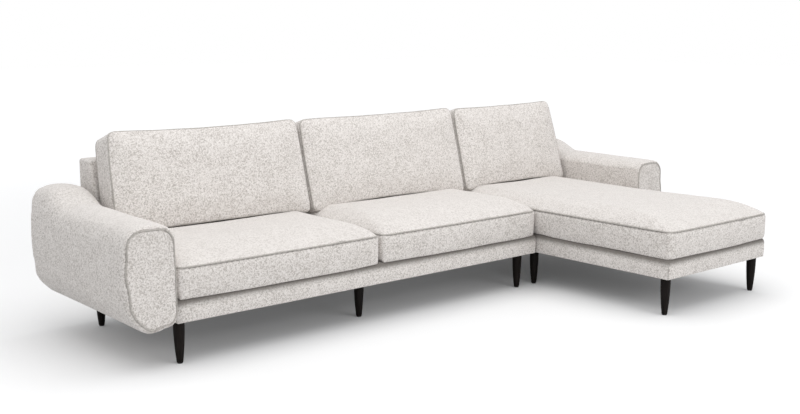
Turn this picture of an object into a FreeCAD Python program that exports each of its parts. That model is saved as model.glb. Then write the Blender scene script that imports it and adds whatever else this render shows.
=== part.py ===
import FreeCAD, Part
import math
import os
import Sketcher
from FreeCAD import Rotation, Vector

# A sectional sofa on dark tapered legs: a two-seat module with the left arm and a chaise module with
# the right arm, each an upholstered timber frame, and six loose boxed cushions with corded seams.
# Millimetres, +Z up, the sofa faces -Y, origin on the floor at the centre of the bounding box.

SIZES = {
    # Plan
    "seat_bay": 1013,  # one seat of the two-seat module
    "chaise_bay": 813,  # the chaise between the module joint and its arm
    "module_gap": 2,  # between the modules when they are pushed together
    "arm_width": 207,
    "arm_rear_width": 209,
    "body_depth": 857,  # from the base front to the flat back
    "chaise_reach": 793,  # how far the chaise runs in front of the two-seat module
    # Heights above the floor
    "base_bottom": 176,
    "base_top": 270,
    "arm_front_top": 562,
    "arm_rear_top": 636,
    "back_top": 740,
    # Upholstered base
    "padding": 12,  # foam and fabric over the rails and the back frame
    "deck": 8,  # foam and fabric over the springs
    "chaise_set_in": 6,  # the chaise base stands inside its bay on each side
    "base_corner": 14,
    "joint_corner": 8,
    "dust_sheet": 1,
    # Timber frames
    "rail": 25,
    "board": 18,
    "rail_lift": 4,  # underside of the rails above the bottom edge of the cover
    "block": 48,
    "block_height": 40,
    "spring_rail": 640,  # behind the base front
    # Back
    "back_thick": 112,  # at the top
    "back_lean": 12.5,  # of its front face, degrees from upright
    "back_end_gap": 8,  # between the back and the arm
    "back_edge": 14,
    "upright": 22,
    # Arms
    "arm_start": 10,  # the arm's front face stands this far ahead of the base front
    "arm_gap": 1,
    "hump_start": 470,
    "hump_end": 710,
    "fabric": 2.5,
    "arm_cord": 5,
    "arm_frame_set_in": 26,
    "arm_frame_width": 104,
    "arm_frame_foot": 205,
    "arm_frame_height": 300,
    "arm_frame_front": 20,
    "arm_frame_length": 812,
    "arm_bolt_front": 150,
    "arm_bolt_rear": 560,
    "arm_bolt_level": 236,
    # Seat cushions
    "seat_wall": 123,  # height of the boxing, up to the seam cord
    "seat_crown": 55,
    "seat_lap": 10,  # beyond the base front
    "seat_rear": 640,  # behind the base front
    "seat_corner": 30,
    "chaise_corner": 40,
    "side_gap": 1.5,
    "rest_gap": 0.3,
    "cord": 7,
    "cord_out": 1,  # how far a cord stands out of its seam
    # Back cushions
    "back_cushion_lean": 15,
    "back_cushion_height": 439,
    "back_cushion_rear_height": 409,
    "back_cushion_thick": 124,
    "back_cushion_crown": 30,
    "back_cushion_rear_crown": 15,
    "back_cushion_corner": 28,
    "back_cushion_taper": 12,  # drawn in at the top beside another cushion
    "back_cushion_end_foot": 9,  # drawn in beside an arm, at the foot
    "back_cushion_end_top": 44,  # and at the top
    "back_cushion_front": 520,  # its lower front seam, behind the base front
    "back_cushion_foot": 444,  # and above the floor
    # Legs
    "leg_top": 46,
    "leg_foot": 26,
    "leg_swell": 1400,  # radius of the leg's slightly rounded side
    "glide": 5,
    "glide_set_in": 2,
    "plate": 46,
    "plate_thick": 3,
    "bolt": 8,
    "bolt_in_leg": 30,
    "flange": 16,
    "leg_end": 36,  # end legs from the arm
    "leg_front": 59,
    "leg_rear": 97,
    "leg_middle_across": 995,
    "leg_middle_back": 140,
    "leg_joint": 76,  # the two-seat module's right legs, from the joint
    "leg_chaise": 51,
    "leg_chaise_front": 45,
    # Springs
    "wire": 4,
    "loop_width": 60,
    "loop_pitch": 46,
    # Connectors between the modules
    "metal": 3,
    "jaw_length": 92,
    "jaw_back": 2,  # its open end stands back from the joint
    "jaw_width": 54,
    "jaw_slot": 13,
    "slot_depth": 28,
    "stud": 11,
    "tongue_end": 6,  # beyond the stud
    "tongue_play": 2,  # under the jaw
    "heel_gap": 4,
    "connector_front": 220,
    "connector_rear": 640,
}

doc = FreeCAD.newDocument("sectional_sofa")
sheet = doc.addObject("Spreadsheet::Sheet", "sheet")
for row, (alias, size) in enumerate(SIZES.items(), start=1):
    sheet.set(f"A{row}", alias)
    sheet.set(f"B{row}", str(size))
    sheet.setAlias(f"B{row}", alias)
doc.recompute()

# Places, as expressions of the sheet
LEFT = "(-(2 * sheet.seat_bay + sheet.module_gap + sheet.chaise_bay) / 2)"
JOINT = f"({LEFT} + 2 * sheet.seat_bay)"
CHAISE = f"({JOINT} + sheet.module_gap)"
RIGHT = f"({CHAISE} + sheet.chaise_bay)"
REACH = "(sheet.chaise_reach + sheet.seat_lap + sheet.cord_out)"
FRONT = f"(({REACH} - sheet.body_depth) / 2)"
CHAISE_FRONT = f"({FRONT} - sheet.chaise_reach)"
REAR = f"({FRONT} + sheet.body_depth)"
RAIL_FOOT = "(sheet.base_bottom + sheet.rail_lift)"
RAIL_TOP = "(sheet.base_top - sheet.deck)"
BACK_RUN = "((sheet.back_top - sheet.base_top) * tan(sheet.back_lean))"
BACK_FOOT = f"({REAR} - sheet.back_thick - {BACK_RUN})"
SLACK = 0.3  # between a cover and what fills it
BORE_SLACK = 0.2

nodes = []


def at(expression):
    """The number that an expression of the sheet comes to."""
    return float(sheet.evalExpression(expression))


def keep(piece, label):
    """Marks a finished sub-part, whose label names its file."""
    piece.Label = label
    nodes.append(piece)
    return piece


def stand(piece, place):
    """Binds an object's position to three expressions."""
    for axis, expression in zip("xyz", place):
        piece.setExpression(f"Placement.Base.{axis}", expression)
    return piece


def box(name, sizes, place):
    piece = doc.addObject("Part::Box", name)
    for side, expression in zip(("Length", "Width", "Height"), sizes):
        piece.setExpression(side, expression)
    return stand(piece, place)


def cylinder(name, radius, height, place):
    piece = doc.addObject("Part::Cylinder", name)
    piece.setExpression("Radius", radius)
    piece.setExpression("Height", height)
    return stand(piece, place)


def fuse(name, pieces):
    whole = doc.addObject("Part::MultiFuse", name)
    whole.Shapes = pieces
    return whole


def group(name, pieces):
    whole = doc.addObject("Part::Compound", name)
    whole.Links = pieces
    return whole


def cut(name, base, tool):
    piece = doc.addObject("Part::Cut", name)
    piece.Base = base
    piece.Tool = tool
    return piece


def feature(shape, place, turn=None):
    """A sub-part whose shape is worked out here, standing at a place of the sheet."""
    piece = doc.addObject("Part::Feature", "shape")
    piece.Shape = shape
    piece.Placement.Base = Vector(*(at(expression) for expression in place))
    if turn is not None:
        piece.Placement.Rotation = turn
    return piece


def profile(body, plane, corners, swell=None):
    """A closed sketch through corners given as expressions. One side may be an arc of a stated radius."""
    sketch = body.newObject("Sketcher::SketchObject", "profile")
    planes = [part for part in body.Origin.OriginFeatures if part.Role == plane]
    sketch.AttachmentSupport = [(planes[0], "")]
    sketch.MapMode = "FlatFace"
    points = [Vector(at(across), at(up), 0) for across, up in corners]
    count = len(points)
    for index, start in enumerate(points):
        end = points[(index + 1) % count]
        if swell and swell[0] == index:
            sketch.addGeometry(arc_between(start, end, at(swell[1])), False)
        else:
            sketch.addGeometry(Part.LineSegment(start, end), False)
    arc_ends = {}
    if swell:
        arc = sketch.Geometry[swell[0]]
        starts_first = arc.StartPoint.distanceToPoint(points[swell[0]]) < 0.001
        arc_ends[swell[0]] = (1, 2) if starts_first else (2, 1)
    for index in range(count):
        following = (index + 1) % count
        last = arc_ends.get(index, (1, 2))[1]
        first = arc_ends.get(following, (1, 2))[0]
        sketch.addConstraint(Sketcher.Constraint("Coincident", index, last, following, first))
    for index, (across, up) in enumerate(corners):
        first = arc_ends.get(index, (1, 2))[0]
        for kind, expression in (("DistanceX", across), ("DistanceY", up)):
            rule = sketch.addConstraint(Sketcher.Constraint(kind, index, first, at(expression)))
            sketch.setExpression(f"Constraints[{rule}]", expression)
    if swell:
        rule = sketch.addConstraint(Sketcher.Constraint("Radius", swell[0], at(swell[1])))
        sketch.setExpression(f"Constraints[{rule}]", swell[1])
    return sketch


def arc_between(start, end, radius):
    """The flat arc from one point to the other that swells to the right of the line between them."""
    half = (end - start) * 0.5
    outward = Vector(half.y, -half.x, 0).normalize()
    rise = radius - math.sqrt(radius**2 - half.Length**2)
    return Part.Arc(start, start + half + outward * rise, end)


def pad(body, sketch, length, reverse=False):
    raised = body.newObject("PartDesign::Pad", "pad")
    raised.Profile = sketch
    raised.setExpression("Length", length)
    raised.Reversed = reverse
    return raised


def turned(body, sketch):
    spin = body.newObject("PartDesign::Revolution", "turned")
    spin.Profile = sketch
    spin.ReferenceAxis = (sketch, ["V_Axis"])
    spin.Angle = 360
    return spin


def new_body(name, place):
    return stand(doc.addObject("PartDesign::Body", name), place)


# Legs, their plates, hanger bolts and glides

FRONT_ROW = f"({FRONT} + sheet.leg_front)"
REAR_ROW = f"({REAR} - sheet.leg_rear)"
LEG_END = f"({LEFT} + sheet.leg_end)"
LEG_MIDDLE = f"({LEFT} + sheet.leg_middle_across)"
LEG_JOINT = f"({JOINT} - sheet.leg_joint)"
CHAISE_NEAR = f"({CHAISE} + sheet.leg_chaise)"
CHAISE_FAR = f"({RIGHT} - sheet.leg_chaise)"
CHAISE_TOE = f"({CHAISE_FRONT} + sheet.leg_chaise_front)"

SOFA_LEGS = {
    "leg_left_front": (LEG_END, FRONT_ROW),
    "leg_left_rear": (LEG_END, REAR_ROW),
    "leg_middle_front": (LEG_MIDDLE, f"({FRONT} + sheet.leg_middle_back)"),
    "leg_middle_rear": (LEG_MIDDLE, REAR_ROW),
    "leg_joint_front": (LEG_JOINT, FRONT_ROW),
    "leg_joint_rear": (LEG_JOINT, REAR_ROW),
}
CHAISE_LEGS = {
    "leg_chaise_toe_left": (CHAISE_NEAR, CHAISE_TOE),
    "leg_chaise_toe_right": (CHAISE_FAR, CHAISE_TOE),
    "leg_chaise_middle_left": (CHAISE_NEAR, FRONT_ROW),
    "leg_chaise_middle_right": (CHAISE_FAR, FRONT_ROW),
    "leg_chaise_rear_left": (CHAISE_NEAR, REAR_ROW),
    "leg_chaise_rear_right": (CHAISE_FAR, REAR_ROW),
}
BOLT_FOOT = "(sheet.base_bottom - sheet.bolt_in_leg)"
BORE = f"(sheet.bolt / 2 + {BORE_SLACK})"
BLOCK_TOP = f"({RAIL_FOOT} + sheet.block_height)"


def leg(label, place):
    """A turned leg, slightly rounded along its length, with the bore for its bolt."""
    body = new_body(label, (*place, "0"))
    corners = [
        ("0", "sheet.glide"),
        ("sheet.leg_foot / 2", "sheet.glide"),
        ("sheet.leg_top / 2", "sheet.base_bottom"),
        (BORE, "sheet.base_bottom"),
        (BORE, BOLT_FOOT),
        ("0", BOLT_FOOT),
    ]
    turned(body, profile(body, "XZ_Plane", corners, swell=(1, "sheet.leg_swell")))
    keep(body, label)


def leg_glide(place):
    return cylinder("disc", "sheet.leg_foot / 2 - sheet.glide_set_in", "sheet.glide", (*place, "0"))


def leg_plate(place):
    across, back = place
    corner = (f"{across} - sheet.plate / 2", f"{back} - sheet.plate / 2", f"{RAIL_FOOT} - sheet.plate_thick")
    sheet_metal = box("plate", ("sheet.plate", "sheet.plate", "sheet.plate_thick"), corner)
    return cut("plate", sheet_metal, bolt_bore(place))


def leg_bolt(place):
    """A bolt from the leg up to the flanged nut on its block."""
    length = f"{BLOCK_TOP} - {BOLT_FOOT}"
    shank = cylinder("shank", "sheet.bolt / 2", length, (*place, BOLT_FOOT))
    flange = cylinder("flange", "sheet.flange / 2", "sheet.plate_thick", (*place, BLOCK_TOP))
    return fuse("bolt", [shank, flange])


def bolt_bore(place):
    return cylinder("bore", BORE, f"{BLOCK_TOP} - {BOLT_FOOT} + sheet.plate_thick", (*place, BOLT_FOOT))


def nut_pocket(place):
    """Room for a flanged nut beside a rail, open at the top for a spanner."""
    radius = f"(sheet.flange / 2 + {BORE_SLACK})"
    return cylinder("pocket", radius, f"{RAIL_TOP} - {BLOCK_TOP} + 1", (*place, BLOCK_TOP))


def legs_of(module, legs):
    for label, place in legs.items():
        leg(label, place)
    keep(group("glides", [leg_glide(place) for place in legs.values()]), f"{module}_leg_glides")
    keep(group("plates", [leg_plate(place) for place in legs.values()]), f"{module}_leg_plates")
    keep(group("bolts", [leg_bolt(place) for place in legs.values()]), f"{module}_leg_bolts")


legs_of("sofa", SOFA_LEGS)
legs_of("chaise", CHAISE_LEGS)


# Seat frames, dust sheets, base covers and springs

ARM_BOLTS = ("sheet.arm_bolt_front", "sheet.arm_bolt_rear")


def arm_bolt_bores(inner_face, outward, radius):
    """Cylinders across the side rail and the arm's inner board, where the arm bolts run."""
    reach = "(sheet.padding + sheet.rail + sheet.chaise_set_in)"
    depth = "(sheet.arm_frame_set_in + sheet.board)"
    start = f"({inner_face} - {reach})" if outward > 0 else f"({inner_face} - {depth})"
    bores = []
    for back in ARM_BOLTS:
        place = (start, f"{FRONT} + {back}", "sheet.arm_bolt_level")
        bore = cylinder("arm_bolt", radius, f"{reach} + {depth}", place)
        bore.Placement.Rotation = Rotation(Vector(0, 1, 0), 90)
        bores.append(bore)
    return bores


def seat_frame(label, left, right, front, legs, cross_rails, arm_side):
    """Rails on edge with corner blocks over the legs, glued into one frame and bored for its bolts."""
    near, far = f"({left} + sheet.padding)", f"({right} - sheet.padding)"
    toe, heel = f"({front} + sheet.padding)", f"({REAR} - sheet.padding)"
    length, depth = f"{far} - {near}", f"{heel} - {toe}"
    height = f"{RAIL_TOP} - {RAIL_FOOT}"
    rails = [
        box("rail", (length, "sheet.rail", height), (near, toe, RAIL_FOOT)),
        box("rail", (length, "sheet.rail", height), (near, f"{heel} - sheet.rail", RAIL_FOOT)),
        box("rail", (length, "sheet.rail", height), (near, f"{FRONT} + sheet.spring_rail", RAIL_FOOT)),
        box("rail", ("sheet.rail", depth, height), (near, toe, RAIL_FOOT)),
        box("rail", ("sheet.rail", depth, height), (f"{far} - sheet.rail", toe, RAIL_FOOT)),
    ]
    for middle, low in cross_rails:
        tall = "sheet.block_height" if low else height
        rails.append(box("rail", ("sheet.rail", depth, tall), (f"{middle} - sheet.rail / 2", toe, RAIL_FOOT)))
    for across, back in legs.values():
        corner = (f"{across} - sheet.block / 2", f"{back} - sheet.block / 2", RAIL_FOOT)
        rails.append(box("block", ("sheet.block", "sheet.block", "sheet.block_height"), corner))
    bores = [bore(place) for place in legs.values() for bore in (bolt_bore, nut_pocket)]
    bores += arm_bolt_bores(*arm_side, BORE)
    keep(cut("frame", fuse("rails", rails), group("bores", bores)), label)


def dust_sheet(label, left, right, front, legs):
    near, toe = f"({left} + sheet.padding)", f"({front} + sheet.padding)"
    sizes = (f"{right} - sheet.padding - {near}", f"{REAR} - sheet.padding - {toe}", "sheet.dust_sheet")
    cloth = box("cloth", sizes, (near, toe, "sheet.base_bottom"))
    keep(cut("dust_sheet", cloth, group("bores", [bolt_bore(place) for place in legs.values()])), label)


def base_cover(label, left, right, front, rounded, radius, arm_side):
    """The padded band round the rails with the deck over the springs, open underneath."""
    sizes = (f"{right} - {left}", f"{REAR} - {front}", "sheet.base_top - sheet.base_bottom")
    block = box("block", sizes, (left, front, "sheet.base_bottom"))
    doc.recompute()
    rounds = []
    for number, edge in enumerate(block.Shape.Edges, start=1):
        middle = edge.CenterOfMass
        upright = abs(edge.BoundBox.XLength) < 1 and abs(edge.BoundBox.YLength) < 1
        at_front = abs(middle.y - at(front)) < 1
        chosen = any(abs(middle.x - at(side)) < 1 for side in rounded)
        if upright and at_front and chosen:
            rounds.append((number, at(radius), at(radius)))
    soft = doc.addObject("Part::Fillet", "soft_corners")
    soft.Base = block
    soft.Edges = rounds
    inside = (
        f"{right} - {left} - 2 * sheet.padding",
        f"{REAR} - {front} - 2 * sheet.padding",
        f"{RAIL_TOP} - sheet.base_bottom",
    )
    corner = (f"{left} + sheet.padding", f"{front} + sheet.padding", "sheet.base_bottom")
    hollow = box("hollow", inside, corner)
    keep(cut("cover", soft, group("hollows", [hollow, *arm_bolt_bores(*arm_side, BORE)])), label)


def spring_path(span, width, pitch):
    """A zigzag wire of round bends, from the origin along +Y."""
    bend = pitch / 2
    run = width - 2 * bend
    bends = int((span - 3 * pitch) / pitch)
    tail = (span - (bends + 1) * pitch) / 2
    spot, heading, edges = Vector(-width / 2, 0, 0), Vector(0, 1, 0), []

    def straight(length):
        nonlocal spot
        edges.append(Part.LineSegment(spot, spot + heading * length).toShape())
        spot = spot + heading * length

    def curve(degrees):
        nonlocal spot, heading
        side = Vector(-heading.y, heading.x, 0) * math.copysign(1, degrees)
        centre = spot + side * bend
        halfway = Rotation(Vector(0, 0, 1), degrees / 2).multVec(spot - centre) + centre
        end = Rotation(Vector(0, 0, 1), degrees).multVec(spot - centre) + centre
        edges.append(Part.Arc(spot, halfway, end).toShape())
        spot, heading = end, Rotation(Vector(0, 0, 1), degrees).multVec(heading)

    straight(tail)
    curve(-90)
    straight(run)
    for index in range(bends):
        curve(180 if index % 2 == 0 else -180)
        straight(run)
    curve(90 if bends % 2 == 0 else -90)
    straight(tail)
    return Part.Wire(edges)


def tube(path, radius):
    """A round solid along a wire."""
    first = path.OrderedEdges[0]
    start, along = first.valueAt(first.FirstParameter), first.tangentAt(first.FirstParameter)
    if path.OrderedVertexes[0].Point.distanceToPoint(start) > 0.01:
        start, along = first.valueAt(first.LastParameter), first.tangentAt(first.LastParameter) * -1
    circle = Part.Wire(Part.Circle(start, along, radius).toShape())
    return path.makePipeShell([circle], True, False)


def springs(label, count, span, first, step, along_x):
    """Parallel zigzag springs between two rails, level with the rails' top edges."""
    wire = tube(spring_path(at(span), at("sheet.loop_width"), at("sheet.loop_pitch")), at("sheet.wire / 2"))
    level = at(f"{RAIL_TOP} - sheet.wire")
    coils = []
    for index in range(count):
        place = Vector(at(first[0]), at(first[1]), level) + Vector(*step) * index
        turn = Rotation(Vector(0, 0, 1), -90 if along_x else 0)
        spring = wire.copy()
        spring.Placement = FreeCAD.Placement(place, turn)
        coils.append(spring)
    keep(feature(Part.makeCompound(coils), ("0", "0", "0")), label)


SPRINGS_PER_BAY = 4
CHAISE_SPRINGS = 7
CHAISE_LEFT = f"({CHAISE} + sheet.chaise_set_in)"
CHAISE_RIGHT = f"({RIGHT} - sheet.chaise_set_in)"
LEFT_ARM_SIDE = (LEFT, -1)
RIGHT_ARM_SIDE = (RIGHT, 1)

seat_frame(
    "sofa_seat_frame", LEFT, JOINT, FRONT, SOFA_LEGS,
    [(f"({LEFT} + sheet.seat_bay)", False), (LEG_JOINT, True)], LEFT_ARM_SIDE,
)
dust_sheet("sofa_dust_cover", LEFT, JOINT, FRONT, SOFA_LEGS)
base_cover("sofa_base_cover", LEFT, JOINT, FRONT, (JOINT,), "sheet.joint_corner", LEFT_ARM_SIDE)
seat_frame("chaise_seat_frame", CHAISE_LEFT, CHAISE_RIGHT, CHAISE_FRONT, CHAISE_LEGS, [], RIGHT_ARM_SIDE)
dust_sheet("chaise_dust_cover", CHAISE_LEFT, CHAISE_RIGHT, CHAISE_FRONT, CHAISE_LEGS)
base_cover(
    "chaise_base_cover", CHAISE_LEFT, CHAISE_RIGHT, CHAISE_FRONT,
    (CHAISE_LEFT, CHAISE_RIGHT), "sheet.base_corner", RIGHT_ARM_SIDE,
)
springs(
    "sofa_seat_springs",
    2 * SPRINGS_PER_BAY,
    "sheet.spring_rail - sheet.padding - sheet.rail",
    (f"{LEFT} + sheet.seat_bay / {2 * SPRINGS_PER_BAY}", f"{FRONT} + sheet.padding + sheet.rail"),
    (at("sheet.seat_bay") / SPRINGS_PER_BAY, 0, 0),
    along_x=False,
)
CHAISE_SPRING_STEP = 190
CHAISE_SPRING_FIRST = 120
springs(
    "chaise_seat_springs",
    CHAISE_SPRINGS,
    f"{CHAISE_RIGHT} - {CHAISE_LEFT} - 2 * (sheet.padding + sheet.rail)",
    (f"{CHAISE_LEFT} + sheet.padding + sheet.rail", f"{CHAISE_FRONT} + {CHAISE_SPRING_FIRST}"),
    (0, CHAISE_SPRING_STEP, 0),
    along_x=True,
)


# Backs: a leaning padded wedge over a frame of uprights, rails and a back board


def wedge(name, left, length, inset, foot, top):
    """The back's side view, set in evenly, drawn out along the sofa."""
    leaning = f"({inset} / cos(sheet.back_lean))"
    corners = [
        (f"{BACK_FOOT} + {leaning} + ({foot}) * tan(sheet.back_lean)", f"sheet.base_top + {foot}"),
        (f"{REAR} - {inset}", f"sheet.base_top + {foot}"),
        (f"{REAR} - {inset}", f"sheet.back_top - {top}"),
        (f"{BACK_FOOT} + {BACK_RUN} + {leaning} - ({top}) * tan(sheet.back_lean)", f"sheet.back_top - {top}"),
    ]
    body = new_body(name, (left, "0", "0"))
    pad(body, profile(body, "YZ_Plane", corners), length)
    return body


def back(prefix, left, right, uprights):
    length = f"({right} - {left})"
    cover = wedge("outer", left, length, "0", "0", "0")
    doc.recompute()
    top_edges = []
    for number, edge in enumerate(cover.Shape.Edges, start=1):
        if edge.BoundBox.ZMin > at("sheet.back_top") - 1:
            top_edges.append(f"Edge{number}")
    drawn_out = cover.Tip
    rounding = cover.newObject("PartDesign::Fillet", "rounding")
    rounding.Base = (drawn_out, top_edges)
    rounding.setExpression("Radius", "sheet.back_edge")
    inner_length = f"{length} - 2 * sheet.padding"
    hollow = wedge("inner", f"{left} + sheet.padding", inner_length, "sheet.padding", "-1", "sheet.padding")
    keep(cut("cover", cover, hollow), f"{prefix}_back_cover")

    set_in = f"(sheet.padding + {SLACK})"
    near, far = f"({left} + {set_in})", f"({right} - {set_in})"
    boards = []
    for share in uprights:
        place = f"{near} + ({far} - {near} - sheet.upright) * {share}"
        boards.append(wedge("upright", place, "sheet.upright", set_in, "0", set_in))
    span = f"{far} - {near}"
    rear_face = f"({REAR} - {set_in})"
    slim = "sheet.board"
    rails = (
        (f"{rear_face} - sheet.block", "sheet.block", f"sheet.back_top - {set_in} - {slim}", slim),
        (f"{BACK_FOOT} + {set_in} + sheet.board", "sheet.block", "sheet.base_top", slim),
        (f"{rear_face} - {slim}", slim, "sheet.base_top", "sheet.block * 2"),
        (f"{rear_face} - {slim}", slim, "(sheet.base_top + sheet.back_top) / 2", "sheet.block"),
    )
    for place, depth, foot, height in rails:
        boards.append(box("rail", (span, depth, height), (near, place, foot)))
    keep(fuse("frame", boards), f"{prefix}_back_frame")


back("sofa", f"({LEFT} + sheet.back_end_gap)", JOINT, (0, 0.25, 0.5, 0.75, 1))
back("chaise", CHAISE, f"({RIGHT} - sheet.back_end_gap)", (0, 0.5, 1))


# Flat outlines of straight runs and tangent arcs, and lofts through them


def outline(corners, inset, to_space):
    """A closed wire round corners given anticlockwise as (across, up, radius), set in by a distance.

    A radius of None makes the arc as long as the runs beside it allow. Far in, corners grow rounder.
    """
    spots = [Vector(across, up, 0) for across, up, radius in corners]
    count = len(spots)
    ahead = [(spots[(index + 1) % count] - spots[index]).normalize() for index in range(count)]
    inward = [Vector(-way.y, way.x, 0) for way in ahead]
    turns, moved = [], []
    for index in range(count):
        before, after = inward[index - 1], inward[index]
        turns.append(math.atan2(ahead[index - 1].cross(ahead[index]).z, ahead[index - 1].dot(ahead[index])))
        moved.append(spots[index] + (before + after) * (inset / (1 + before.dot(after))))
    runs = [moved[index].distanceToPoint(moved[(index + 1) % count]) for index in range(count)]
    reaches = []
    for (across, up, radius), turn in zip(corners, turns):
        if radius is None:
            reaches.append(None)
        else:
            rounder = max(radius - inset, radius / 2 + inset / 4)
            reaches.append(rounder * math.tan(abs(turn) / 2))
    free = [index for index in range(count) if reaches[index] is None]
    for index in free:
        before = runs[index - 1] - (reaches[index - 1] or 0)
        after = runs[index] - (reaches[(index + 1) % count] or 0)
        reaches[index] = 0.96 * min(before, after)
    edges = []
    for index in range(count):
        following = (index + 1) % count
        corner, reach = moved[index], reaches[index]
        start, end = corner - ahead[index - 1] * reach, corner + ahead[index] * reach
        half = abs(turns[index]) / 2
        sag = reach * (1 / math.sin(half) - 1 / math.tan(half))
        middle = corner + (ahead[index] - ahead[index - 1]).normalize() * sag
        edges.append(Part.Arc(to_space(start), to_space(middle), to_space(end)).toShape())
        next_start = moved[following] - ahead[index] * reaches[following]
        edges.append(Part.LineSegment(to_space(end), to_space(next_start)).toShape())
    return Part.Wire(edges)


def loft(stages, inset, corners_at, plane_at):
    """Stages of (level, set-in) sections, each stage lofted smoothly and all joined."""
    solids = []
    for stage in stages:
        wires = []
        for level, draw_in in stage:
            wires.append(outline(corners_at(level), draw_in + inset, plane_at(level)))
        solids.append(Part.makeLoft(wires, True, False))
    return solids[0].fuse(solids[1:]).removeSplitter() if len(solids) > 1 else solids[0]


# Arms: a timber frame inside a block of padding, a cover with a corded seam round each end panel

ARM_CORD_DEPTH = 5  # of the cords behind the faces of the end panels
PANEL_SET_IN = 4
SEAM_SET_IN = 1.5
HUMP_STEPS = 8
ARM_FOOT = 184  # its inner lower edge above the floor
ARM_BELLY, ARM_BELLY_SHARE = 163, 0.60  # the lowest corner, as a share of the width
ARM_TUCK, ARM_TUCK_LEVEL = 8, 262  # the outer side draws in low down
ARM_BULGE, ARM_BULGE_LEVEL = 8, 385
ARM_CREST_DROP, ARM_CREST_SHARE = 13, 0.56


def arm_corners(level):
    """The arm's outline at a distance behind the base front, as (outward, up, radius)."""
    start, end = at("sheet.hump_start"), at("sheet.hump_end")
    share = min(max((level - start) / (end - start), 0), 1)
    eased = (1 - math.cos(math.pi * share)) / 2
    top = at("sheet.arm_front_top") + (at("sheet.arm_rear_top") - at("sheet.arm_front_top")) * eased
    width = at("sheet.arm_width") + (at("sheet.arm_rear_width") - at("sheet.arm_width")) * eased
    shoulder = top - ARM_CREST_DROP
    return [
        (0, ARM_FOOT, 50),
        (width * ARM_BELLY_SHARE, ARM_BELLY, 48),
        (width - ARM_TUCK, ARM_TUCK_LEVEL, 110),
        (width + ARM_BULGE, ARM_BULGE_LEVEL, 400),
        (width - 2, shoulder, 62),
        (width * ARM_CREST_SHARE, top + 3, 180),
        (0, shoulder, 84),
    ]


def arm_plane(side):
    return lambda level: (lambda spot: Vector(side * spot.x, level, spot.y))


def arm_stages(inset):
    """The main block between the two corded seams, and outside it the end panels and the seams' grooves."""
    front = -at("sheet.arm_start") + ARM_CORD_DEPTH
    rear = at("sheet.body_depth") - ARM_CORD_DEPTH
    half = at("sheet.arm_cord / 2") + inset
    start, end = at("sheet.hump_start"), at("sheet.hump_end")
    spread = 30
    hump = [(start - spread, 0), (start, 0)]
    for step in range(1, HUMP_STEPS):
        hump.append((start + (end - start) * step / HUMP_STEPS, 0))
    hump += [(end, 0), (end + spread, 0)]
    swell = 14
    main = [
        [(front + half, SEAM_SET_IN), (front + half + swell, 0)],
        [(front + half + swell, 0), (start - spread, 0)],
        hump,
        [(end + spread, 0), (rear - half - swell, 0)],
        [(rear - half - swell, 0), (rear - half, SEAM_SET_IN)],
    ]
    if inset:
        return main
    neck = arm_neck()
    ends = [
        [(front - ARM_CORD_DEPTH, PANEL_SET_IN), (front - half, SEAM_SET_IN)],
        [(front - half, neck), (front + half, neck)],
        [(rear - half, neck), (rear + half, neck)],
        [(rear + half, SEAM_SET_IN), (rear + ARM_CORD_DEPTH, PANEL_SET_IN)],
    ]
    return main + ends


def arm_neck():
    """How far the ground of a cord's groove lies inside the arm's outline."""
    return at("sheet.arm_cord - sheet.cord_out") + SLACK


def arm(prefix, inner_face, side, bolts_label):
    place = (f"{inner_face} + {side} * sheet.arm_gap", FRONT, "0")
    plane_at = arm_plane(side)
    fabric = at("sheet.fabric")
    outer = loft(arm_stages(0), 0, arm_corners, plane_at)
    inner = loft(arm_stages(fabric), fabric, arm_corners, plane_at)
    stuffing = loft(arm_stages(fabric + SLACK), fabric + SLACK, arm_corners, plane_at)

    set_in, width = at("sheet.arm_frame_set_in"), at("sheet.arm_frame_width")
    near = set_in if side > 0 else -set_in - width
    sizes = (width, at("sheet.arm_frame_length"), at("sheet.arm_frame_height"))
    corner = Vector(near, at("sheet.arm_frame_front"), at("sheet.arm_frame_foot"))
    room = Part.makeBox(*(size + 2 * SLACK for size in sizes), corner - Vector(SLACK, SLACK, SLACK))
    bores = []
    for back_from_front in ARM_BOLTS:
        middle = Vector(0, at(back_from_front), at("sheet.arm_bolt_level"))
        bores.append(Part.makeCylinder(at(BORE), set_in + 1, middle - Vector(side, 0, 0), Vector(side, 0, 0)))
    keep(feature(outer.cut([inner, *bores]), place), f"{prefix}_arm_cover")
    keep(feature(stuffing.cut([room, *bores]), place), f"{prefix}_arm_padding")

    cord_radius = at("sheet.arm_cord / 2")
    cords = []
    for level in (-at("sheet.arm_start") + ARM_CORD_DEPTH, at("sheet.body_depth") - ARM_CORD_DEPTH):
        seam = outline(arm_corners(level), cord_radius - at("sheet.cord_out"), plane_at(level))
        cords.append(tube(seam, cord_radius))
    keep(feature(Part.makeCompound(cords), place), f"{prefix}_arm_cords")

    frame_x = f"{inner_face} + {side} * sheet.arm_gap + {near}"
    block_sizes = ("sheet.arm_frame_width", "sheet.arm_frame_length", "sheet.arm_frame_height")
    block_place = (frame_x, f"{FRONT} + sheet.arm_frame_front", "sheet.arm_frame_foot")
    block = box("block", block_sizes, block_place)
    open_x = f"{frame_x} + sheet.board" if side > 0 else f"{frame_x} - sheet.board"
    open_sizes = (
        "sheet.arm_frame_width",
        "sheet.arm_frame_length - 2 * sheet.board",
        "sheet.arm_frame_height - 2 * sheet.board",
    )
    open_place = (open_x, f"{block_place[1]} + sheet.board", f"{block_place[2]} + sheet.board")
    window = box("window", open_sizes, open_place)
    arm_bores = arm_bolt_bores(inner_face, side, BORE)
    keep(cut("frame", block, group("openings", [window, *arm_bores])), f"{prefix}_arm_frame")
    keep(group("bolts", arm_bolt_bores(inner_face, side, "sheet.bolt / 2")), bolts_label)


arm("left", LEFT, -1, "sofa_arm_bolts")
arm("right", RIGHT, 1, "chaise_arm_bolts")


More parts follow.
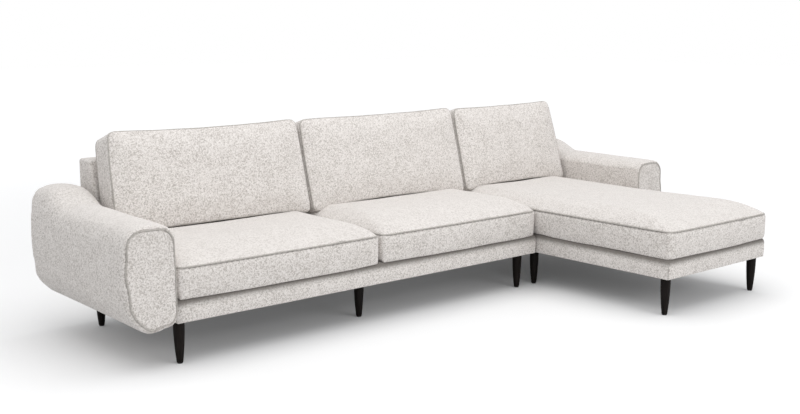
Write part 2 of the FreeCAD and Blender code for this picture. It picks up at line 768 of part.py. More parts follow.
# Loose cushions: a filling in a boxed cover, with a cord in each seam between boxing and panel

FILLING_SLACK = 0.8
SEAM_DRAW = 2.5
FOOT_DRAW = 9
BOW_CUT = 0.46  # of a side's bow is lost where its middle corner is rounded
DOME_STEPS = 5
BOXING_STEPS = 6


def groove():
    """How far the ground of a seam's groove lies inside the cushion's outline."""
    return at("sheet.cord - sheet.cord_out") + SLACK


def dome_start(crown, inset):
    """The share of a dome's run at which its inside has risen clear of the ledge over the cord."""
    return 1 - (1 - 2 * inset / (crown - at("sheet.cord / 2"))) ** (1 / 3)


def dome(seam, crown, run, outward, inset):
    """Sections from a seam out over the crown of a panel, as (level, set-in)."""
    half, start = at("sheet.cord / 2"), dome_start(crown, inset)
    rows = []
    for step in range(DOME_STEPS + 1):
        share = start + (1 - start) * step / DOME_STEPS
        rise = half + (crown - half) * (1 - (1 - share) ** 3) - inset
        rows.append((seam + outward * rise, SEAM_DRAW + run * share))
    return rows[::outward]


def boxing(start, end, foot_draw):
    """Sections up the side of a cushion, drawn in at its foot and at its seam."""
    rows = []
    for step in range(BOXING_STEPS + 1):
        share = step / BOXING_STEPS
        draw_in = foot_draw * (1 - share) ** 6 + SEAM_DRAW * share**4
        rows.append((start + (end - start) * share, draw_in))
    return rows


def seam_neck(seam, crown, run, inset):
    half = at("sheet.cord / 2") + inset
    depth = max(groove(), SEAM_DRAW + run * dome_start(crown, inset))
    return [(seam - half, depth), (seam + half, depth)]


def cushion(prefix, stages_at, corners_at, plane_at, seams, place, turn=None):
    fabric = at("sheet.fabric")
    outer = loft(stages_at(0), 0, corners_at, plane_at)
    inner = loft(stages_at(fabric), fabric, corners_at, plane_at)
    filling = loft(stages_at(fabric + FILLING_SLACK), fabric + FILLING_SLACK, corners_at, plane_at)
    keep(feature(outer.cut(inner), place, turn), f"{prefix}_cover")
    keep(feature(filling, place, turn), f"{prefix}_filling")
    radius = at("sheet.cord / 2")
    cords = []
    for seam in seams:
        path = outline(corners_at(seam), radius - at("sheet.cord_out"), plane_at(seam))
        cords.append(tube(path, radius))
    cord = cords[0] if len(cords) == 1 else Part.makeCompound(cords)
    keep(feature(cord, place, turn), f"{prefix}_cord")


SEAT_BOW = 3
SEAT_FRONT_BOW = 6
SEAT_DOME_RUN = 230


def seat_cushion(prefix, left, right, front, front_corner):
    """A boxed seat cushion with its upper seam corded, standing from its front to the back."""
    half_width = at(f"({right} - {left}) / 2 - sheet.side_gap")
    half_depth = at(f"({FRONT} + sheet.seat_rear - ({front} - sheet.seat_lap)) / 2")
    corner = at("sheet.seat_corner")

    def corners_at(level):
        front_middle = half_depth + SEAT_FRONT_BOW * BOW_CUT
        rear_middle, side_middle = half_depth + SEAT_BOW * BOW_CUT, half_width + SEAT_BOW * BOW_CUT
        near, far, side = SEAT_FRONT_BOW - front_middle, rear_middle - SEAT_BOW, side_middle - SEAT_BOW
        return [
            (-side, near, front_corner),
            (0, -front_middle, None),
            (side, near, front_corner),
            (side_middle, 0, None),
            (side, far, corner),
            (0, rear_middle, None),
            (-side, far, corner),
            (-side_middle, 0, None),
        ]

    def plane_at(level):
        return lambda spot: Vector(spot.x, spot.y, level)

    wall, half, crown = at("sheet.seat_wall"), at("sheet.cord / 2"), at("sheet.seat_crown")

    def stages_at(inset):
        return [
            boxing(inset, wall - half - inset, FOOT_DRAW),
            seam_neck(wall, crown, SEAT_DOME_RUN, inset),
            dome(wall, crown, SEAT_DOME_RUN, 1, inset),
        ]

    middle = f"({front} - sheet.seat_lap + {half_depth})"
    place = (f"({left} + {right}) / 2", middle, "sheet.base_top + sheet.rest_gap")
    cushion(prefix, stages_at, corners_at, plane_at, [wall], place)


BACK_DROOP = 12
BACK_DIP = 20
BACK_SWELL = 3
BACK_DOME_RUN = 110
BACK_REAR_RUN = 60


def back_cushion(prefix, left, right, left_draw, right_draw):
    """A boxed back cushion leaning on the back, each side drawn in by distances at its foot and top."""
    half = at(f"({right} - {left}) / 2 - sheet.side_gap")
    radius, thick = at("sheet.back_cushion_corner"), at("sheet.back_cushion_thick")
    front_height, rear_height = at("sheet.back_cushion_height"), at("sheet.back_cushion_rear_height")
    (left_foot, left_top), (right_foot, right_top) = left_draw, right_draw

    def corners_at(level):
        height = front_height + (rear_height - front_height) * level / thick
        left_flank = half - (left_foot + left_top) / 2 + BACK_SWELL
        right_flank = half - (right_foot + right_top) / 2 + BACK_SWELL
        return [
            (left_foot - half, 0, radius),
            (0, BACK_DROOP, None),
            (half - right_foot, 0, radius),
            (right_flank, height / 2, None),
            (half - right_top, height, radius),
            (0, height - BACK_DIP, None),
            (left_top - half, height, radius),
            (-left_flank, height / 2, None),
        ]

    def plane_at(level):
        return lambda spot: Vector(spot.x, level, spot.y)

    crown, rear_crown = at("sheet.back_cushion_crown"), at("sheet.back_cushion_rear_crown")

    def stages_at(inset):
        ledge = at("sheet.cord / 2") + inset
        return [
            dome(0, crown, BACK_DOME_RUN, -1, inset),
            seam_neck(0, crown, BACK_DOME_RUN, inset),
            boxing(ledge, thick - ledge, SEAM_DRAW),
            seam_neck(thick, rear_crown, BACK_REAR_RUN, inset),
            dome(thick, rear_crown, BACK_REAR_RUN, 1, inset),
        ]

    place = (f"({left} + {right}) / 2", f"{FRONT} + sheet.back_cushion_front", "sheet.back_cushion_foot")
    turn = Rotation(Vector(1, 0, 0), -at("sheet.back_cushion_lean"))
    cushion(prefix, stages_at, corners_at, plane_at, [0, thick], place, turn)


MIDDLE = f"({LEFT} + sheet.seat_bay)"
BESIDE_CUSHION = (0, at("sheet.back_cushion_taper"))
BESIDE_ARM = (at("sheet.back_cushion_end_foot"), at("sheet.back_cushion_end_top"))
BAYS = {
    "left": (LEFT, MIDDLE, FRONT, BESIDE_ARM, BESIDE_CUSHION),
    "middle": (MIDDLE, JOINT, FRONT, BESIDE_CUSHION, BESIDE_CUSHION),
    "chaise": (CHAISE, RIGHT, CHAISE_FRONT, BESIDE_CUSHION, BESIDE_ARM),
}
for bay, (bay_left, bay_right, bay_front, left_draw, right_draw) in BAYS.items():
    toe_corner = at("sheet.chaise_corner" if bay == "chaise" else "sheet.seat_corner")
    seat_cushion(f"{bay}_seat_cushion", bay_left, bay_right, bay_front, toe_corner)
    back_cushion(f"{bay}_back_cushion", bay_left, bay_right, left_draw, right_draw)


# Connectors: jaws under the two-seat module, open towards the chaise, whose tongues carry studs

CONNECTOR_ROWS = (f"{FRONT} + sheet.connector_front", f"{FRONT} + sheet.connector_rear")
JAW_LEVEL = "(sheet.base_bottom - 2 * sheet.metal)"
TONGUE_LEVEL = f"({JAW_LEVEL} - sheet.metal - sheet.tongue_play)"


def oblong(left, right, half):
    return [(left, f"-{half}"), (right, f"-{half}"), (right, half), (left, half)]


def jaw(row):
    """A slotted plate, its heel thickened up to the frame. The slot opens at the joint."""
    body = new_body("jaw", (f"{JOINT} - sheet.jaw_length", row, JAW_LEVEL))
    reach, half, slot = "(sheet.jaw_length - sheet.jaw_back)", "(sheet.jaw_width / 2)", "(sheet.jaw_slot / 2)"
    ground = f"({reach} - sheet.slot_depth)"
    corners = oblong("0", reach, half)[:2]
    corners += [(reach, f"-{slot}"), (ground, f"-{slot}"), (ground, slot), (reach, slot)]
    corners += oblong("0", reach, half)[2:]
    pad(body, profile(body, "XY_Plane", corners), "sheet.metal")
    pad(body, profile(body, "XY_Plane", oblong("0", "sheet.jaw_length / 3", half)), "2 * sheet.metal")
    return body


def tongue(row):
    """A plate from under the chaise frame to the jaw, with an upright stud for the jaw's slot."""
    body = new_body("tongue", (JOINT, row, TONGUE_LEVEL))
    stud_x = "-(sheet.slot_depth - sheet.stud / 2)"
    half = "(sheet.jaw_width / 4)"
    heel = "(sheet.module_gap + sheet.chaise_set_in + sheet.heel_gap)"
    tip = "-(sheet.slot_depth + sheet.tongue_end)"
    pad(body, profile(body, "XY_Plane", oblong(tip, "sheet.jaw_length", half)), "sheet.metal")
    rise = f"sheet.base_bottom - {TONGUE_LEVEL}"
    pad(body, profile(body, "XY_Plane", oblong(heel, "sheet.jaw_length", half)), rise)
    stud = cylinder("stud", "sheet.stud / 2", f"{rise} - 1", (f"{JOINT} + {stud_x}", row, TONGUE_LEVEL))
    return fuse("tongue", [body, stud])


keep(group("jaws", [jaw(row) for row in CONNECTOR_ROWS]), "sofa_connector_jaws")
keep(group("tongues", [tongue(row) for row in CONNECTOR_ROWS]), "chaise_connector_tongues")


# Check and write every sub-part

doc.recompute()
for thing in doc.Objects:
    if "Invalid" in thing.State or "Error" in thing.State:
        raise RuntimeError(f"{thing.Name} failed: {thing.State}")
os.makedirs("parts", exist_ok=True)
for node in nodes:
    if node.Shape.isNull() or not node.Shape.isValid():
        raise RuntimeError(f"{node.Label} has no valid shape")
    node.Shape.exportStep(os.path.join("parts", f"{node.Label}.step"))
whole = Part.makeCompound([node.Shape for node in nodes]).optimalBoundingBox()
print(f"{len(nodes)} nodes, {whole.XLength:.1f} x {whole.YLength:.1f} x {whole.ZLength:.1f} mm")
print(f"x {whole.XMin:.2f} {whole.XMax:.2f}, y {whole.YMin:.2f} {whole.YMax:.2f}")
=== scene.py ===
import math

import bmesh
import bpy
import numpy as np
from mathutils import Matrix, Vector, noise
from mathutils.kdtree import KDTree


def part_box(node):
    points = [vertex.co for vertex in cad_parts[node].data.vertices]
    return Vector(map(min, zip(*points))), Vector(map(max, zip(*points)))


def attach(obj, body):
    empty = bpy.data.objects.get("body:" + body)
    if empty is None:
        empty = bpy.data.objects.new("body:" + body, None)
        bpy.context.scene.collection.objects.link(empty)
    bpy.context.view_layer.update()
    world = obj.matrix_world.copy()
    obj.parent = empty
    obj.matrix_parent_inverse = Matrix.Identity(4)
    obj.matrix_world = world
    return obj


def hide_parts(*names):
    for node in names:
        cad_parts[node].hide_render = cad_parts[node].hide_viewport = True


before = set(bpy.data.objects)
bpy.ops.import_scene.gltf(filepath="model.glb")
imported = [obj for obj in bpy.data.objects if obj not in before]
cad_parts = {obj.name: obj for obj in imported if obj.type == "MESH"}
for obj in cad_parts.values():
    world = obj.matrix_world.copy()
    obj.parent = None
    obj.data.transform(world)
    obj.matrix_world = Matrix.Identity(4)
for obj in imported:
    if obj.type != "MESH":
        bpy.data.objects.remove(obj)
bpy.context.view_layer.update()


# Shader sums and nodes

class Value:  # a socket of a material that takes plain arithmetic
    def __init__(self, finish, socket):
        self.finish, self.socket = finish, socket

    def sum(self, operation, first, second=0.0):
        return self.finish.node("ShaderNodeMath", {"operation": operation}, {0: first, 1: second})

    def __add__(self, other):
        return self.sum("ADD", self, other)

    def __sub__(self, other):
        return self.sum("SUBTRACT", self, other)

    def __rsub__(self, other):
        return self.sum("SUBTRACT", other, self)

    def __mul__(self, other):
        return self.sum("MULTIPLY", self, other)

    def __truediv__(self, other):
        return self.sum("DIVIDE", self, other)

    __radd__ = __add__
    __rmul__ = __mul__


class Finish:  # a material and its nodes
    def __init__(self, name, **constants):
        self.material = bpy.data.materials.new(name)
        self.material.use_nodes = True
        self.tree = self.material.node_tree
        self.shader = self.tree.nodes["Principled BSDF"]
        for socket, value in constants.items():
            self.shader.inputs[socket.replace("_", " ")].default_value = value

    def node(self, kind, settings=None, inputs=None, output=0):
        made = self.tree.nodes.new(kind)
        for setting, value in (settings or {}).items():
            if setting == "stops":
                self.setStops(made.color_ramp, value)
            else:
                setattr(made, setting, value)
        for socket, value in (inputs or {}).items():
            self.feed(made.inputs[socket], value)
        return Value(self, made.outputs[output])

    def setStops(self, ramp, stops):
        while len(ramp.elements) < len(stops):
            ramp.elements.new(1.0)
        for element, (place, colour) in zip(ramp.elements, stops):
            element.position = place
            element.color = (*colour, 1.0)

    def feed(self, socket, value):
        if isinstance(value, Value):
            self.tree.links.new(value.socket, socket)
        else:
            socket.default_value = value

    def places(self, scale=(1, 1, 1)):  # where a point of the piece is, stretched by a Mapping
        here = self.node("ShaderNodeTexCoord", output="Object")
        return self.node("ShaderNodeMapping", {}, {"Vector": here, "Scale": scale})

    def flecks(self, here, scale, detail, output=0, **more):  # cloudy noise of a size
        inputs = {"Vector": here, "Scale": scale, "Detail": detail, **more}
        return self.node("ShaderNodeTexNoise", {}, inputs, output)

    def ramp(self, tone, stops):
        return self.node("ShaderNodeValToRGB", {"stops": stops}, {"Fac": tone}, "Color")

    def raised(self, height, strength, relief):
        return self.node("ShaderNodeBump", {}, {"Height": height, "Strength": strength, "Distance": relief})

    def mixed(self, share, first, second):
        return self.node(
            "ShaderNodeMix", {"data_type": "RGBA"},
            {"Factor": share, 6: first, 7: second}, output=2,
        )

    def out(self, **links):
        for socket, value in links.items():
            self.feed(self.shader.inputs[socket.replace("_", " ")], value)
        return self.material


# Looped wool cloth

boucleLook = {
    "pale": (0.800, 0.764, 0.735),
    "cream": (0.715, 0.678, 0.648),
    "greige": (0.620, 0.582, 0.550),
    "fleck": (0.43, 0.398, 0.368),
    # painted shade, mixed in where the seam attribute marks a crease, furrow or crevice
    "crease": (0.125, 0.111, 0.098),
    "paintedTopTone": (0.628, 0.594, 0.566),  # painted shade: cloth that faces up is mixed toward this flatter, darker tone, standing in for how the light falls on the tops
    "stops": (0.27, 0.39, 0.48, 0.60),  # of the tone, for fleck, greige, cream and pale
    "loops": 255.0,  # per metre
    "mottle": 150.0,
    "cloudy": 16.0,
    "bend": 0.012,  # how far the mottle pushes the rows of loops about
    "greyShare": 0.34,
    "mottleShare": 0.62,
    "cloudShare": 0.14,
    "loopShare": 0.16,
    "drop": 0.02,
    "paintedTopShare": 0.5,
    "creaseShadeShare": 0.92,
    "relief": 0.0019,
    "bump": 0.85,
}


def boucle(name, look):
    cloth = Finish(name, Roughness=0.92, Sheen_Weight=0.25, Sheen_Roughness=0.55, Specular_IOR_Level=0.15)
    here = cloth.places()
    sway = cloth.flecks(here, look["mottle"], 2.0, "Color")
    bent = cloth.node(
        "ShaderNodeMix", {"data_type": "VECTOR"}, {"Factor": look["bend"], 4: here, 5: sway}, output=1,
    )
    rows = {"Vector": bent, "Scale": look["loops"]}
    loops = cloth.node("ShaderNodeTexVoronoi", {}, rows, "Distance")
    tint = cloth.node("ShaderNodeTexVoronoi", {}, rows, "Color")
    grey = cloth.node("ShaderNodeSeparateColor", {}, {"Color": tint}, "Red")
    mottle = cloth.flecks(here, look["mottle"], 4.0)
    clouds = cloth.flecks(here, look["cloudy"], 2.0)
    tone = grey * look["greyShare"] + mottle * look["mottleShare"] + clouds * look["cloudShare"]
    tone = tone - loops * look["loopShare"] - look["drop"]
    shades = [look[shade] for shade in ("fleck", "greige", "cream", "pale")]
    colour = cloth.ramp(tone, list(zip(look["stops"], shades)))
    # painted shade: where the seam attribute marks a crease, furrow or crevice, the cloth is darkened towards
    # the crease colour
    seam = cloth.node("ShaderNodeAttribute", {"attribute_name": "seam"}, output="Fac")
    # painted shade: cloth that faces up, by the level attribute, is mixed toward a flatter, darker tone
    level = cloth.node("ShaderNodeAttribute", {"attribute_name": "level"}, output="Fac")
    topShaded = cloth.mixed(level * look["paintedTopShare"], colour, (*look["paintedTopTone"], 1))
    creaseShaded = cloth.mixed(seam * look["creaseShadeShare"], topShaded, (*look["crease"], 1))
    height = ((1 - loops) * 0.7 + mottle * 0.6) * (1 - level * 0.4)
    bump = cloth.raised(height, look["bump"], look["relief"])
    rough = mottle * 0.1 + 0.86
    return cloth.out(Base_Color=creaseShaded, Roughness=rough, Normal=bump)


cordLook = {
    # the cord is of the cover's own cloth; these tones are darker than the cover's as painted shade of the
    # crease it lies in
    "light": (0.53, 0.504, 0.472),
    "dark": (0.31, 0.290, 0.266),
    "stops": (0.36, 0.62),
    "threads": 420.0,
    "drift": 70.0,
    "relief": 0.0006,
}


def cordCloth(name, look):
    cloth = Finish(name, Roughness=0.9, Sheen_Weight=0.15, Specular_IOR_Level=0.15)
    here = cloth.places()
    threads = cloth.flecks(here, look["threads"], 3.0)
    drift = cloth.flecks(here, look["drift"], 2.0)
    tone = threads * 0.7 + drift * 0.3
    colour = cloth.ramp(tone, list(zip(look["stops"], (look["dark"], look["light"]))))
    bump = cloth.raised(threads, 0.6, look["relief"])
    return cloth.out(Base_Color=colour, Roughness=threads * 0.12 + 0.82, Normal=bump)


legLook = {
    "dark": (0.005, 0.0038, 0.0034), "grain": (0.014, 0.0105, 0.009), "lines": 260.0,
    "along": (1, 1, 0.06), "shine": 0.10,
}
timberLook = {
    "dark": (0.42, 0.27, 0.13), "grain": (0.62, 0.44, 0.25), "lines": 90.0,
    "along": (0.1, 1, 1), "shine": 0.3,
}


def stainedWood(name, look):
    wood = Finish(name, Roughness=0.5, Specular_IOR_Level=look["shine"])
    here = wood.places(look["along"])
    fine = wood.flecks(here, look["lines"], 5.0, Distortion=0.6)
    broad = wood.flecks(here, look["lines"] / 6, 3.0)
    tone = fine * 0.6 + broad * 0.4
    colour = wood.ramp(tone, [(0.38, look["dark"]), (0.66, look["grain"])])
    bump = wood.raised(fine, 0.25, 0.0004)
    return wood.out(Base_Color=colour, Roughness=tone * 0.3 + 0.35, Normal=bump)


def speckled(name, dark, light, scale, rough, metal=0.0):
    plain = Finish(name, Metallic=metal, Specular_IOR_Level=0.4)
    here = plain.places()
    grit = plain.flecks(here, scale, 4.0)
    drift = plain.flecks(here, scale / 12, 2.0)
    tone = grit * 0.6 + drift * 0.4
    colour = plain.ramp(tone, [(0.35, dark), (0.65, light)])
    bump = plain.raised(grit, 0.4, 0.0003)
    return plain.out(Base_Color=colour, Roughness=grit * 0.2 + (rough - 0.1), Normal=bump)


coverCloth = boucle("boucleCloth", boucleLook)
pipingCloth = cordCloth("pipingCloth", cordLook)
finishes = {
    "leg_wood": stainedWood("wengeStain", legLook),
    "timber": stainedWood("framePine", timberLook),
    "steel": speckled("zincSteel", (0.42, 0.42, 0.43), (0.62, 0.62, 0.62), 300.0, 0.42, metal=1.0),
    "glide": speckled("glideNylon", (0.02, 0.02, 0.02), (0.04, 0.04, 0.04), 400.0, 0.6),
    "dust_cloth": speckled("dustCloth", (0.016, 0.016, 0.017), (0.04, 0.04, 0.042), 700.0, 0.95),
    "foam": speckled("foam", (0.66, 0.62, 0.50), (0.80, 0.77, 0.66), 500.0, 0.95),
    "boucle": coverCloth,
    "cord": pipingCloth,
}
print("materials mixed", len(bpy.data.materials))


# Ways of working cloth forms

clothLook = {
    "quality": 4,
    "mass": 0.3,
    "steps": 20,
    "cordStep": 0.008,  # between the points of a seam line
    "smoothings": 6,  # of a seam line
    "seed": 4,
}
noise.seed_set(clothLook["seed"])  # so that every run gives the same unevenness


def points(piece):
    spots = np.empty(len(piece.data.vertices) * 3)
    piece.data.vertices.foreach_get("co", spots)
    return spots.reshape(-1, 3)


def meshNormals(piece):
    normals = np.empty(len(piece.data.vertices) * 3)
    piece.data.vertex_normals.foreach_get("vector", normals)
    return normals.reshape(-1, 3)


def place(piece, spots):
    piece.data.vertices.foreach_set("co", spots.ravel())
    piece.data.update()


def asPiece(form, name):
    mesh = bpy.data.meshes.new(name)
    form.to_mesh(mesh)
    form.free()
    piece = bpy.data.objects.new(name, mesh)
    bpy.context.collection.objects.link(piece)
    return piece


def applied(piece):  # the mesh as its modifiers leave it
    bpy.context.view_layer.update()
    ready = piece.evaluated_get(bpy.context.evaluated_depsgraph_get())
    before, piece.data = piece.data, bpy.data.meshes.new_from_object(ready)
    piece.modifiers.clear()
    bpy.data.meshes.remove(before)


def remeshed(piece, voxel):
    remesh = piece.modifiers.new("remesh", "REMESH")
    remesh.mode, remesh.voxel_size = "VOXEL", voxel
    applied(piece)


def subdivided(piece, levels=1):
    finer = piece.modifiers.new("finer", "SUBSURF")
    finer.levels = finer.render_levels = levels
    applied(piece)


def inflated(piece, held, pressure, cap):
    # Cloth under pressure between its held points, and no point moves much past the cap
    start = points(piece)
    pins = piece.vertex_groups.new(name="pins")
    pins.add(np.flatnonzero(held).tolist(), 1.0, "REPLACE")
    cloth = piece.modifiers.new("cloth", "CLOTH")
    cloth.settings.quality = clothLook["quality"]
    cloth.settings.mass = clothLook["mass"]
    cloth.settings.vertex_group_mass = "pins"
    cloth.settings.use_pressure = True
    cloth.settings.uniform_pressure_force = pressure
    cloth.settings.effector_weights.gravity = 0
    cloth.point_cache.frame_start, cloth.point_cache.frame_end = 1, clothLook["steps"]
    for number in range(1, clothLook["steps"] + 1):
        bpy.context.scene.frame_set(number)
    applied(piece)
    bpy.context.scene.frame_set(1)
    piece.vertex_groups.clear()
    moved = points(piece) - start
    length = np.maximum(np.linalg.norm(moved, axis=1), 1e-9)
    place(piece, start + moved * (cap * np.tanh(length / cap) / length)[:, None])


def uneven(spots, size, amount, seed):  # slow hand-made unevenness, along all three axes
    shift = np.array([noise.noise_vector(Vector(spot) / size + Vector((seed, 0, 0))) for spot in spots])
    return spots + shift * amount


def uprightRounded(form, atCorner, radius, segments):
    upright = []
    for edge in form.edges:
        foot, top = edge.verts
        if abs(foot.co.z - top.co.z) > 1e-3 and atCorner(foot.co) and atCorner(top.co):
            upright.append(edge)
    bmesh.ops.bevel(
        form, geom=upright, offset=radius, segments=segments, profile=0.5, affect="EDGES", material=-1,
    )


def sliced(piece, planes):
    form = bmesh.new()
    form.from_mesh(piece.data)
    for spot, way in planes:
        everything = form.verts[:] + form.edges[:] + form.faces[:]
        bmesh.ops.bisect_plane(form, geom=everything, dist=1e-5, plane_co=spot, plane_no=way)
    form.to_mesh(piece.data)
    form.free()


def lineAcross(piece, spot, way):
    # The longest closed line where a plane meets the piece, with even steps
    form = bmesh.new()
    form.from_mesh(piece.data)
    everything = form.verts[:] + form.edges[:] + form.faces[:]
    bmesh.ops.bisect_plane(
        form, geom=everything, dist=1e-5, plane_co=spot, plane_no=way, clear_inner=True, clear_outer=True,
    )
    best, seen = [], set()
    for first in form.verts:
        if first in seen:
            continue
        line, here = [], first
        while here is not None:
            seen.add(here)
            line.append(here.co.copy())
            ahead = [edge.other_vert(here) for edge in here.link_edges]
            here = next((vert for vert in ahead if vert not in seen), None)
        if len(line) > len(best):
            best = line
    form.free()
    line = np.array(best)
    for _ in range(clothLook["smoothings"]):
        line = (np.roll(line, 1, 0) + line * 2 + np.roll(line, -1, 0)) / 4
    closed = np.vstack([line, line[:1]])
    along = np.concatenate([[0], np.cumsum(np.linalg.norm(np.diff(closed, axis=0), axis=1))])
    steps = np.linspace(0, along[-1], int(along[-1] / clothLook["cordStep"]), endpoint=False)
    return np.stack([np.interp(steps, along, closed[:, axis]) for axis in range(3)], 1)


def pressed(piece, lines, depth, width):
    # A furrow along the seams, and how near each point is to one, for painted crease shade in the cloth's
    # colour
    stitches = np.vstack(lines)
    near = KDTree(len(stitches))
    for index, spot in enumerate(stitches):
        near.insert(spot, index)
    near.balance()
    spots = points(piece)
    away = np.array([near.find(spot)[2] for spot in spots])
    push = depth * np.exp(-((away / width) ** 2))
    place(piece, spots - meshNormals(piece) * push[:, None])
    creaseShaded(piece, np.exp(-((away / (width * 0.85)) ** 2)))


def creaseShaded(piece, share):  # how deep in a crease each point lies, for painted shade in the cloth's colour
    shade = piece.data.attributes.new("seam", "FLOAT", "POINT")
    shade.data.foreach_set("value", share.astype(np.float32))


def cordAlong(name, lines, radius):
    # A covered cord round each line
    data = bpy.data.curves.new(name, "CURVE")
    data.dimensions, data.bevel_depth, data.bevel_resolution = "3D", radius, 3
    for line in lines:
        spline = data.splines.new("POLY")
        spline.points.add(len(line) - 1)
        spline.points.foreach_set("co", np.hstack([line, np.ones((len(line), 1))]).ravel())
        spline.use_cyclic_u = True
    curve = bpy.data.objects.new(name, data)
    bpy.context.collection.objects.link(curve)
    bpy.context.view_layer.update()
    mesh = bpy.data.meshes.new_from_object(curve.evaluated_get(bpy.context.evaluated_depsgraph_get()))
    mesh.name = name
    bpy.data.objects.remove(curve)
    piece = bpy.data.objects.new(name, mesh)
    bpy.context.collection.objects.link(piece)
    return piece


def dressed(piece, material, body, slot, *nodes):
    # Its finish, how much each point faces up for the painted shade of up-facing cloth, and what it rides and
    # replaces
    piece.data.materials.clear()
    piece.data.materials.append(material)
    piece.data.shade_smooth()
    level = piece.data.attributes.new("level", "FLOAT", "POINT")
    level.data.foreach_set("value", (np.clip(meshNormals(piece)[:, 2], 0, 1) ** 2).astype(np.float32))
    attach(piece, body)
    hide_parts(*nodes)


# Cushions, made lying flat with a corded seam round the upper panel, then set in place

seatLook = {
    "wall": 0.123,
    "crown": {"left": 0.055, "middle": 0.063, "chaise": 0.057},
    "crownRuns": (0.125, 0.300, 0.150),  # from the sides, the front and the rear
    "corner": 0.030,
    "toeCorner": 0.027,  # of the chaise cushion
    "gap": 0.0015,
    "inset": 0.0028,  # of the seam line from the cushion's sides
    "bow": 0.003,
    "foot": 0.003,
    "trim": (0.002, 0.004),  # of the block before it is inflated, off each side and each end
    "edge": 0.003,  # of the block above the seam
    "rim": 0.020,  # how far in the sides' bow reaches
    "held": (0.011, 0.010),  # cloth near the seam that doesn't move, up and in
    "lip": (0.013, 0.015),  # how far the lower edge hangs over the base, and how far in
    "lipTop": 0.070,  # the cloth above this isn't drawn down by it
    "toeLip": 0.6,  # of the lip, on the chaise
    "toeFrom": (-0.06, 0.06),  # the chaise's sides hang free in front of this, and ease in over that
    "uneven": (0.16, 0.0016),
    "slices": (-0.007, -0.0035, 0.0, 0.0035, 0.007, 0.011),
    "voxel": 0.012,
    "pressure": 4.0,
    "cap": 0.006,
    "cord": 0.0033,
    "groove": 0.0045,
    "crease": 0.0050,
    "under": 0.0032,  # the crease runs this far below the cord
}
backLook = {
    "thick": 0.124,
    "height": 0.439,
    "rearHeight": 0.432,
    "crown": 0.030,
    "crownRun": 0.110,
    "rearCrown": 0.015,
    "rearRun": 0.070,
    "corner": 0.042,
    "inset": 0.0035,
    "bulge": 0.0030,  # of the sides past the front seam
    "besideCushion": (0.0008, 0.0030),  # drawn in at the foot and the top
    "besideArm": (0.0055, 0.0345),
    "arch": {"left": (0.007, 0.027, 6.0), "middle": (0.0145, 0.0345, 3.0), "chaise": (0.0105, 0.0305, 4.0)},
    "top": {"left": (0.001, 0.003), "middle": (-0.001, 0.007), "chaise": (0.003, 0.010)},  # of the ends
    "dip": {"left": 0.010, "middle": 0.006, "chaise": 0.006},
    "lean": 15.0,
    "foot": (0.4935, 0.444),
    "trim": 0.0015,
    "edge": 0.003,
    "rim": 0.020,
    "held": (0.010, 0.010, 0.006),  # cloth that doesn't move, near the seams, in, and at the bottom
    "side": 0.003,  # the sides' swell at half height
    "gains": (0.009, 0.005),  # what the pressure adds to the front and rear crowns
    "uneven": (0.15, 0.0022),
    "slices": (-0.007, -0.0035, 0.0, 0.0035, 0.007),
    "voxel": 0.011,
    "pressure": 4.0,
    "cap": 0.007,
    "cord": 0.0035,
    "groove": 0.0030,
    "crease": 0.0032,
    "under": 0.0020,
}
cordInset, cordSpill = 0.0018, 0.0012  # into the furrow, and past the cushion's side at most


def insideOf(across, along, halfWide, halfDeep, radius):
    # How far in from a rounded outline each point is, and the way out
    overWide, overDeep = np.abs(across) - (halfWide - radius), np.abs(along) - (halfDeep - radius)
    outWide, outDeep = np.maximum(overWide, 0), np.maximum(overDeep, 0)
    length = np.hypot(outWide, outDeep)
    depth = radius - length - np.minimum(np.maximum(overWide, overDeep), 0)
    atCorner = length > 1e-6
    wayWide = np.where(atCorner, outWide / np.maximum(length, 1e-6), overWide > overDeep)
    wayDeep = np.where(atCorner, outDeep / np.maximum(length, 1e-6), overWide <= overDeep)
    return np.maximum(depth, 0), wayWide * np.sign(across), wayDeep * np.sign(along)


def crowned(across, along, halfWide, halfDeep, runs):
    side, front, rear = runs
    easeWide = np.clip(1 - (halfWide - np.abs(across)) / side, 0, 1) ** 3
    easeDeep = np.clip(1 - (halfDeep - np.abs(along)) / np.where(along < 0, front, rear), 0, 1) ** 3
    return 1 - np.minimum((easeWide**2.5 + easeDeep**2.5) ** 0.4, 1)


def cushionBlock(name, wide, deep, low, high, frontCorner, rearCorner):
    form = bmesh.new()
    bmesh.ops.create_cube(form, size=1.0)
    bmesh.ops.scale(form, vec=(wide, deep, high - low), verts=form.verts)
    bmesh.ops.translate(form, vec=(0, 0, (high + low) / 2), verts=form.verts)
    for toRear, radius in ((-1, frontCorner), (1, rearCorner)):
        uprightRounded(
            form, lambda spot: spot.y * toRear > deep / 2 - 1e-5 and abs(spot.x) > wide / 2 - 1e-5, radius, 8,
        )
    return asPiece(form, name)


